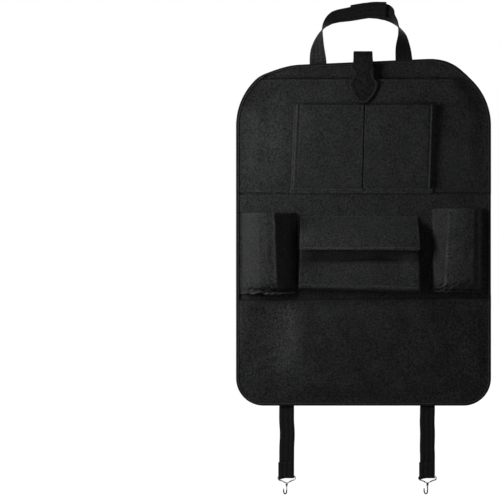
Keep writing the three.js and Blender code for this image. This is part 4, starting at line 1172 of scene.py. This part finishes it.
def strap_mesh(name, centre, across, width, thickness, columns):
    """A strap along centre, its width towards across."""
    along = unit(np.gradient(centre, axis=0))
    across = unit(across - along * (across * along).sum(1, keepdims=True))
    out = np.cross(along, across)
    share = np.linspace(-0.5, 0.5, columns)
    thin = thickness * (0.5 - 0.12 * smooth((np.abs(share) * 2 - 0.8) / 0.2))
    wide = centre[:, None] + across[:, None] * (share * width)[None, :, None]
    deep = out[:, None] * thin[None, :, None]
    return shell(name, wide + deep, wide - deep, 0.25)


# Handle

HANDLE_WIDTH = 27.0
HANDLE_MIDDLE_Y = -2.05
HANDLE_TWIST_Z = 336.0
STRAP_APART = WEBBING + 2 * TAPE + 4 * CLEAR
TAPE_APART = TAPE + CLEAR
TAPE_WIDTH = 22.0
TAPE_ENDS = (-16.0, 34.5)
FOOT_TUCK = 3.0

# Points of each leg: place across the panel, rise above its top, and turn in degrees
LEFT_LEG = [(-74.4, 0.0, 0.0), (-74.8, 22.0, 40.0), (-69.0, 48.7, 84.0), (-61.0, 62.6, 110.0), (-48.4, 72.5, 132.0)]
RIGHT_LEG = [(66.5, 0.0, 0.0), (64.9, 22.8, 26.0), (63.1, 44.9, 62.0), (54.9, 62.6, 98.0), (46.2, 72.3, 118.0)]
BAND = [(-20.5, 79.8), (12.3, 85.6), (37.0, 84.8)]
BAND_TILTS = (38.0, 12.0)
BAND_SLIP = 4.5
# Painted light on the left leg, which faces the lamp, and painted shade on the right leg and on the band
LEG_LIGHT_AND_SHADE = (0.75, -0.38)
BAND_SHADE = -0.2


def band_tilt(x):
    """How far the handle's top leans forward, in radians."""
    return np.radians(np.interp(x, [BAND[0][0], BAND[-1][0]], BAND_TILTS))


def band_point(place, off, slip=0.0):
    x, rise = place
    tilt = float(band_tilt(x))
    y = HANDLE_MIDDLE_Y - off * math.cos(tilt) + slip * math.sin(tilt)
    return (x, y, PANEL_TOP + rise - off * math.sin(tilt) - slip * math.cos(tilt))


def handle_leg(leg, top_y):
    points = []
    for i, (x, rise, _) in enumerate(leg):
        if i == 0:
            rise = float(top_lift(x + HANDLE_WIDTH / 2, PANEL_TOP)) + 4 * CLEAR - FOOT_TUCK
        points.append((x, mix(HANDLE_MIDDLE_Y, top_y, float(smooth((i - 1) / 3))), PANEL_TOP + rise))
    return points


def handle_strap(side, points, leg, sign, leg_light):
    centre, place = centripetal(points, 16)
    along = unit(np.gradient(centre, axis=0))
    count = len(leg)
    band = math.pi - band_tilt(centre[:, 0])
    turn = np.interp(place, np.arange(count), np.radians([turn for _, _, turn in leg]))
    turn = soften(mix(turn, band, np.clip(place - count + 1, 0, 1)), 14)
    turn = np.where(place >= count, band, turn) * sign
    across = unit(np.stack([along[:, 2], 0 * place, -along[:, 0]], 1)) * np.cos(turn)[:, None]
    across[:, 1] += np.sin(turn)
    piece = strap_mesh(side + "_handle_webbing", centre, across, HANDLE_WIDTH, WEBBING, 19)
    # The leg's painted light and shade, changing to the band's painted shade above the twist
    paint_light_and_tone(piece, lambda x, z: mix(leg_light, BAND_SHADE, smooth((z - HANDLE_TWIST_Z + 6) / 12)))
    flat = (HANDLE_WIDTH, walked_along(centre)[-1])
    dress(piece, side + "_handle_strap", STRAP_WEAVE, "webbing", flat, rests_on=("back_panel_felt",))


def build_handle():
    near, far = STRAP_APART / 2, -STRAP_APART / 2
    left = handle_leg(LEFT_LEG, HANDLE_MIDDLE_Y - near) + [band_point(place, near) for place in BAND]
    right = handle_leg(RIGHT_LEG, HANDLE_MIDDLE_Y - far)
    right += [band_point(BAND[2], far, BAND_SLIP), band_point(BAND[1], far, BAND_SLIP / 2), band_point(BAND[0], far)]
    handle_strap("left", left, LEFT_LEG, -1, LEG_LIGHT_AND_SHADE[0])
    handle_strap("right", right, RIGHT_LEG, 1, LEG_LIGHT_AND_SHADE[1])
    for kind, off in (("hook", TAPE_APART / 2), ("loop", -TAPE_APART / 2)):
        centre, _ = centripetal([band_point(place, off) for place in BAND], 12)
        centre = centre[(centre[:, 0] > TAPE_ENDS[0]) & (centre[:, 0] < TAPE_ENDS[1])]
        tilt = band_tilt(centre[:, 0])
        across = np.stack([0 * tilt, -np.sin(tilt), np.cos(tilt)], 1)
        piece = strap_mesh(f"handle_{kind}_strip", centre, across, TAPE_WIDTH, TAPE, 11)
        node, under = f"handle_{kind}_tape", ("left_handle_webbing",)
        dress(piece, node, FUZZ, "hook_and_loop", (TAPE_WIDTH, 50), held="laid", rests_on=under)


# Closure tab

TAB_TOP_HALF = 14.8
TAB_NECK_HALF = 16.8
TAB_CENTRE = -1.0
TAB_RISE = 300.0
TAB_TIP = 212.0
SHIELD_TOP = 247.0
SHIELD_HALF = 24.0
SHOULDER = 10.0
SQUARE_WIDTH = 24.0
SQUARE_ENDS = (224.0, 249.0)


def tab_half(z):
    neck = SHIELD_TOP + SHOULDER
    strap = mix(TAB_NECK_HALF, TAB_TOP_HALF, np.clip((z - neck) / (TAB_RISE - neck), 0, 1))
    wide = mix(SHIELD_HALF, strap, smooth((z - SHIELD_TOP) / SHOULDER))
    share = np.clip((z - TAB_TIP) / (SHIELD_TOP - TAB_TIP), 0, 1)
    return np.where(z >= SHIELD_TOP, wide, np.maximum(1.0, SHIELD_HALF * (1 - (1 - share) ** 1.7) ** 0.8))


def build_tab():
    front_y = MAGAZINE_FRONT + 3 * CLEAR + 2 * TAPE + TAB_THICKNESS
    rear_y = CLEAR
    middle_y = (front_y + rear_y) / 2
    heights = np.unique(np.concatenate([TAB_TIP + 35 * np.linspace(0, 1, 22) ** 1.6, np.arange(248, 284, 2.0)]))
    rows = [(front_y, z, float(tab_half(z))) for z in heights]
    bend = (front_y - rear_y) / 2
    for angle in np.radians(np.linspace(0, 180, 15)):
        rows.append((middle_y + bend * math.cos(angle), TAB_RISE - bend + bend * math.sin(angle), TAB_TOP_HALF))
    rows.append((rear_y, PANEL_TOP + CLEAR + 0.6, TAB_TOP_HALF))
    share = np.linspace(-1, 1, 27)
    grid = np.array([[(TAB_CENTRE + s * half, -y, z) for s in share] for y, z, half in rows])
    x, z = grid[..., 0], grid[..., 2]
    side = np.abs(x - TAB_CENTRE)
    front = grid[..., 1] < -(front_y - 0.5)
    grid[..., 1] -= np.where(front, 0.35 * ripple(x, z, 22, 71) * smooth((z - TAB_TIP) / 10), 0)
    grid = sew(grid, [tab_seam(TAB_SEAM_INSET)], 0.55, 0.15, 8, front)
    piece = shell("closure_tab_felt", grid, grid - normals(grid) * TAB_THICKNESS)
    given = {"held": "folded", "area": 50 * 34 + 34 * 75, "rests_on": ("back_panel_felt", "magazine_pocket_felt")}
    dress(piece, "closure_tab", FELT_TAB, "felt", (50, 112), **given)
    for kind, off in (("loop", CLEAR + TAPE / 2), ("hook", 2 * CLEAR + 1.5 * TAPE)):
        heights = np.linspace(*SQUARE_ENDS, 14)
        centre = np.stack([0 * heights + TAB_CENTRE, 0 * heights - MAGAZINE_FRONT - off, heights], 1)
        square = strap_mesh(f"tab_{kind}_square", centre, np.repeat([[1.0, 0, 0]], 14, 0), SQUARE_WIDTH, TAPE, 11)
        node, under = f"tab_{kind}_patch", ("magazine_pocket_felt",)
        dress(square, node, FUZZ, "hook_and_loop", (24, 25), held="laid", rests_on=under)
    return piece


def tab_seam(inset):
    """Line inside the tab's edge, up one side and down the other."""
    low = np.linspace(TAB_TIP + inset * 1.7, 268, 46)
    half = np.maximum(0.6, tab_half(low) - inset)
    right = np.stack([TAB_CENTRE + half, low], 1)
    left = np.stack([TAB_CENTRE - half, low], 1)
    return np.concatenate([left[::-1], right])


# Elastic straps

STRAP_WIDTH = 24.0
STRAPS = {"left": -126.0, "right": 105.0}
BAR_Y = -2.5
BAR_Z = -397.0
FOLD_TOP = -374.0
WIRE_RADIUS = 1.1
BAR_SLACK = 0.5


def build_lower_strap(side):
    x = STRAPS[side]
    turn = WIRE_RADIUS + BAR_SLACK + ELASTIC / 2
    rear_y = BAR_Y + ELASTIC / 2 + CLEAR / 2
    front_y = rear_y - ELASTIC - CLEAR
    close = BAR_Z + 9
    path = [(rear_y, PANEL_BOTTOM - CLEAR)] + [(rear_y, z) for z in np.arange(-285, FOLD_TOP, -4.0)]
    path += [(rear_y, FOLD_TOP), (rear_y, -381), (rear_y, close), (rear_y + 0.3, close - 2)]
    for angle in np.radians(np.linspace(25, -205, 19)):
        path.append((BAR_Y + turn * math.cos(angle), BAR_Z + turn * math.sin(angle)))
    path += [(front_y - 0.3, close - 2), (front_y, close), (front_y, -382), (front_y, -378), (front_y, FOLD_TOP)]
    path = np.array(path)
    s = np.arange(len(path))
    hang = smooth((PANEL_BOTTOM - 6 - path[:, 1]) / 40) * smooth((path[:, 1] - FOLD_TOP) / 25)
    sway = 0.7 * np.sin(path[:, 1] / 31 + (0 if side == "left" else 1.7))
    centre = np.stack([x + sway * hang, path[:, 0] - 0.9 * hang * (1 + np.sin(path[:, 1] / 23)) / 2, path[:, 1]], 1)
    folded = smooth((s - (len(path) - 16)) / 10)
    centre[:, 0] += 0.5 * np.sin(path[:, 1] / 9.0) * hang - 1.5 * folded
    across = np.stack([np.ones(len(path)), 0 * s, 0.02 * np.sin(s / 7) * hang], 1)
    piece = strap_mesh(side + "_elastic_strap", centre, across, STRAP_WIDTH, ELASTIC, 21)
    flat = (STRAP_WIDTH, walked_along(centre)[-1])
    dress(piece, side + "_lower_strap", ELASTIC_WEAVE, "elastic", flat, rests_on=("back_panel_felt",))


# Wire hooks

HOOK_HALF = 14.0
HOOK_SHOULDER = 5.2
HOOK_THROAT = 11.0
HOOK_STEM_END = 24.0
HOOK_BEND = 5.0
HOOK_TURN = math.radians(60)
COIL_RADIUS = 1.45
COIL_WIRE = 0.55
COIL_PITCH = 0.07


def tube(points, radius, closed, sides, base):
    """A round wire along points, with rounded ends where it is open."""
    p = np.asarray(points, float)
    along = unit(np.roll(p, -1, 0) - np.roll(p, 1, 0) if closed else np.gradient(p, axis=0))
    guide = np.array([0.0, 1.0, 0.0]) if abs(along[0][1]) < 0.9 else np.array([1.0, 0.0, 0.0])
    side = []
    for t in along:
        guide = unit(guide - t * (guide @ t))
        side.append(guide)
    other = np.cross(along, side)
    rings = [(spot, radius, a, b) for spot, a, b in zip(p, side, other)]
    if not closed:
        for t in (0.5, 0.9):
            r = radius * math.sqrt(1 - t * t)
            rings.insert(0, (p[0] - along[0] * radius * t, r, side[0], other[0]))
            rings.append((p[-1] + along[-1] * radius * t, r, side[-1], other[-1]))
    return tube_parts(rings, sides, closed, base)


def build_hook(side):
    def at(dx, dy, dz):
        return (STRAPS[side] + dx, BAR_Y + dy, BAR_Z + dz)

    half, shoulder, throat = HOOK_HALF, HOOK_SHOULDER, HOOK_THROAT
    turns = [(half * 0.5, 0), (half - 1.5, 0), (half, -1.6), (half, -shoulder + 1), (half - 1.5, -shoulder - 0.6),
             (half * 0.55, -shoulder - 2.2), (3, -throat + 1.2)]
    ring = [at(0, 0, 0)] + [at(dx, 0, dz) for dx, dz in turns] + [at(0, 0, -throat)]
    ring += [at(-dx, 0, dz) for dx, dz in turns[::-1]]
    curve, place = centripetal(ring[-3:] + ring + ring[:4], 6)
    curve = curve[(place >= 3) & (place < 3 + len(ring))]
    out_x, out_y = -math.cos(HOOK_TURN), math.sin(HOOK_TURN)
    stem = [at(0, 0, -throat), at(0, 0, -throat - 5), at(0, 0, -HOOK_STEM_END)]
    for angle in np.radians(np.linspace(210, 360, 6)):
        reach = HOOK_BEND * (1 + math.cos(angle))
        stem.append(at(out_x * reach, out_y * reach, -HOOK_STEM_END + HOOK_BEND * math.sin(angle)))
    stem.append(at(out_x * 2 * HOOK_BEND, out_y * 2 * HOOK_BEND, -HOOK_STEM_END + 3))
    coil = []
    for k in range(61):
        angle = 2 * math.pi * k / 15
        coil.append(at(COIL_RADIUS * math.cos(angle), COIL_RADIUS * math.sin(angle), -throat - 0.6 - k * COIL_PITCH))
    wires = ((curve, WIRE_RADIUS, True, 14), (centripetal(stem, 5)[0], WIRE_RADIUS * 1.02, False, 14),
             (coil, COIL_WIRE, False, 8))
    vertices, faces = [], []
    for points, radius, closed, sides in wires:
        more, skin = tube(points, radius, closed, sides, len(vertices))
        vertices += more
        faces += skin
    piece = new_object(side + "_hook_wire", np.array(vertices), faces)
    stand_for(piece, WIRE, side + "_wire_hook", side + "_hook")


# Build every piece

back_panel = build_back_panel()
binding = build_binding()
magazine = build_magazine_panel()
left_phone = build_phone_pocket("left", LEFT_PHONE, 31)
right_phone = build_phone_pocket("right", RIGHT_PHONE, 35)
left_bottle = build_bottle_pocket("left", LEFT_BOTTLE, 81)
right_bottle = build_bottle_pocket("right", RIGHT_BOTTLE, 86)
tissue_box = build_tissue_box()
tissue_flap = build_tissue_flap()
lower_panel = build_lower_panel()
build_handle()
closure_tab = build_tab()
for strap_side in STRAPS:
    build_lower_strap(strap_side)
    build_hook(strap_side)

# Stitching

sewn = (back_panel, binding, magazine, left_phone, right_phone, left_bottle, right_bottle,
        tissue_box, tissue_flap, lower_panel, closure_tab)
trees = {piece.name: surface_tree(piece) for piece in sewn}


def run(piece, line, pitch=STITCH_PITCH):
    return on_surface(trees[piece.name], line, pitch)


stitch_piece("binding_stitching", [run(binding, rounded_line(BINDING_LEG - 1.6, 900))])
magazine_lines = [bottom_seam(*ends, MAGAZINE_SEAM_Z) for ends in ((-SEAM_REACH, -119), (113, SEAM_REACH))]
magazine_lines += [[(x0, MAGAZINE_MOUTH_SEAM), (x1, MAGAZINE_MOUTH_SEAM)]
                   for x0, x1 in ((-MOUTH_SEAM_REACH, -18), (17, MOUTH_SEAM_REACH))]
stitch_piece("magazine_stitching", [run(magazine, line) for line in magazine_lines], DARK_THREAD)
phone_runs, phone_tops = [], []
for pocket, edges, side in ((left_phone, LEFT_PHONE, "left"), (right_phone, RIGHT_PHONE, "right")):
    phone_runs.append(run(pocket, bottom_seam(edges["low_left"] + 1, edges["low_right"] - 1, PHONE_SEAM_Z)))
    phone_runs.append(run(pocket, phone_seam(edges, side, 6.6)))
    ends = edges["top_left"] + 9, edges["top_right"] - 9
    phone_tops.append(run(pocket, [(x, PHONE_MOUTH_SEAM) for x in ends]))
stitch_piece("phone_pocket_stitching", phone_runs)
stitch_piece("phone_mouth_stitching", phone_tops, DARK_THREAD, 0.5)
bottle_runs = []
for pocket, spec in ((left_bottle, LEFT_BOTTLE), (right_bottle, RIGHT_BOTTLE)):
    inner_seam, outer_seam = bottle_seams(spec)
    # The left pocket's outer side is sewn under the edge tape
    for x in (inner_seam, outer_seam) if pocket is right_bottle else (inner_seam,):
        bottle_runs.append(run(pocket, [(x, spec["bottom"] + 5), (x, spec["top"] - 2)]))
    low = spec["bottom"] + 0.8
    bottle_runs.append(run(pocket, [(spec["outer"] + towards_middle(spec) * 8, low), (inner_seam, low)]))
stitch_piece("bottle_pocket_stitching", bottle_runs)
lid_hem = bottom_seam(-98.5, 85, LID_LOW_SEAM, 0.4)
stitch_piece("tissue_pocket_stitching", [run(tissue_box, tissue_hem_line()), run(tissue_flap, lid_hem)])
stitch_piece("tissue_lid_stitching", [
    run(tissue_flap, bottom_seam(LID_LEFT, LID_RIGHT, LID_TOP_SEAM, 0.3)),
    run(tissue_flap, [(-98.5, LID_TOP - 5), (-99.5, LID_BOTTOM + 7)]),
    run(tissue_flap, [(85, LID_TOP - 5), (86, LID_BOTTOM + 7)]),
    run(back_panel, bottom_seam(LID_LEFT, LID_RIGHT, LID_TOP + 0.9, 0.3)),
], DARK_THREAD, 0.6)
lower_runs = [run(lower_panel, lower_line(LOWER_SEAM_DROP)), run(back_panel, lower_line(-0.9))]
stitch_piece("lower_panel_stitching", lower_runs, DARK_THREAD, 0.6)
stitch_piece("tab_stitching", [run(closure_tab, tab_seam(TAB_SEAM_INSET), 3.2)])

# The sewn box at the foot of each leg of the handle, with close rows across it
BOX_LOW = 257.5
BOX_HIGH = 272.5
BOX_ROWS = 3
handle_runs = []
for x0, x1 in ((-92, -60), (50, 82)):
    lift = (x0 + x1) / 2 * TOP_SLOPE * 0.5
    low, high = BOX_LOW + lift, BOX_HIGH + lift
    lines = [[(x0, low), (x1, low), (x1, high), (x0, high), (x0, low)]]
    for k in range(BOX_ROWS):
        z = mix(low, high, (k + 1) / (BOX_ROWS + 1))
        lines.append([(x0, z), (x1, z)])
    handle_runs += [run(back_panel, line, 3.0) for line in lines]
stitch_piece("handle_box_stitching", handle_runs, DARK_THREAD)

# Floor, lights and camera, in metres and watts

FLOOR_REACH = 30
FLOOR_Z = -0.62
FLOOR_BRIGHT = 1.13
WORLD_LIGHT = 0.115
# The view is 0.82 m wide at the panel, its centre left of and a little below the panel's
VIEW_WIDTH = 0.8205
VIEW_CENTRE_X = -0.1861
VIEW_CENTRE_Z = -0.0258
CAMERA_DISTANCE = 5.7
SENSOR = 36.0
# Name, place, size and power of each lamp
LAMPS = (
    ("key", (-0.57, -0.42, 0.12), 0.34, 4.9),
    ("back", (0.7, 2.6, 0.9), 1.2, 14.0),
    ("fill", (1.6, -3.2, 1.2), 1.5, 4.0),
)


def shown_over(g, seen, under, over):
    """A shader that changes from under to over where seen is 1."""
    node = g.add("ShaderNodeMixShader")
    for socket, value in zip(node.inputs, (seen, under.outputs[0], over.outputs[0])):
        g.put(socket, value)
    return g.show(node)


def build_floor():
    mesh = bpy.data.meshes.new("floor")
    corners = [(a * FLOOR_REACH, b * FLOOR_REACH, FLOOR_Z) for a, b in ((-1, -1), (1, -1), (1, 1), (-1, 1))]
    mesh.from_pydata(corners, [], [(0, 1, 2, 3)])
    floor = link("floor", mesh)
    g = new_material("floor_paper")
    grain = g.noise(g.place(), 60.0, 3.0, 0.5)
    paper = g.add("ShaderNodeBsdfDiffuse", Color=g.blend(grain, (0.8, 0.8, 0.8, 1), (0.84, 0.84, 0.84, 1)))
    bright = g.add("ShaderNodeEmission", Strength=FLOOR_BRIGHT)
    mesh.materials.append(shown_over(g, g.times(g.seen(), 0.9), paper, bright))
    floor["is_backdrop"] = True


def build_world():
    world = bpy.data.worlds.new("studio")
    bpy.context.scene.world = world
    g = Graph(world, "ShaderNodeOutputWorld")
    soft, white = (g.add("ShaderNodeBackground", Color=(1, 1, 1, 1), Strength=v) for v in (WORLD_LIGHT, 1.0))
    shown_over(g, g.seen(), soft, white)


def area_light(name, place, size, power):
    """A rectangular lamp that points at the middle of the panel."""
    data = bpy.data.lights.new(name, "AREA")
    data.shape, data.size, data.size_y, data.energy = "RECTANGLE", size, size, power
    lamp = link(name, data)
    lamp.location = place
    lamp.rotation_euler = (-Vector(place)).to_track_quat("-Z", "Y").to_euler()


def build_camera():
    data = bpy.data.cameras.new("camera")
    data.sensor_width = SENSOR
    data.lens = SENSOR * CAMERA_DISTANCE / VIEW_WIDTH
    data.clip_start, data.clip_end = 0.1, 200.0
    camera = link("camera", data)
    camera.location = (VIEW_CENTRE_X, -CAMERA_DISTANCE, VIEW_CENTRE_Z)
    camera.rotation_euler = (math.pi / 2, 0, 0)
    bpy.context.scene.camera = camera


build_floor()
build_world()
for lamp in LAMPS:
    area_light(*lamp)
build_camera()

bpy.context.scene.view_settings.view_transform = "Standard"

bpy.context.view_layer.update()
low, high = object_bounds()
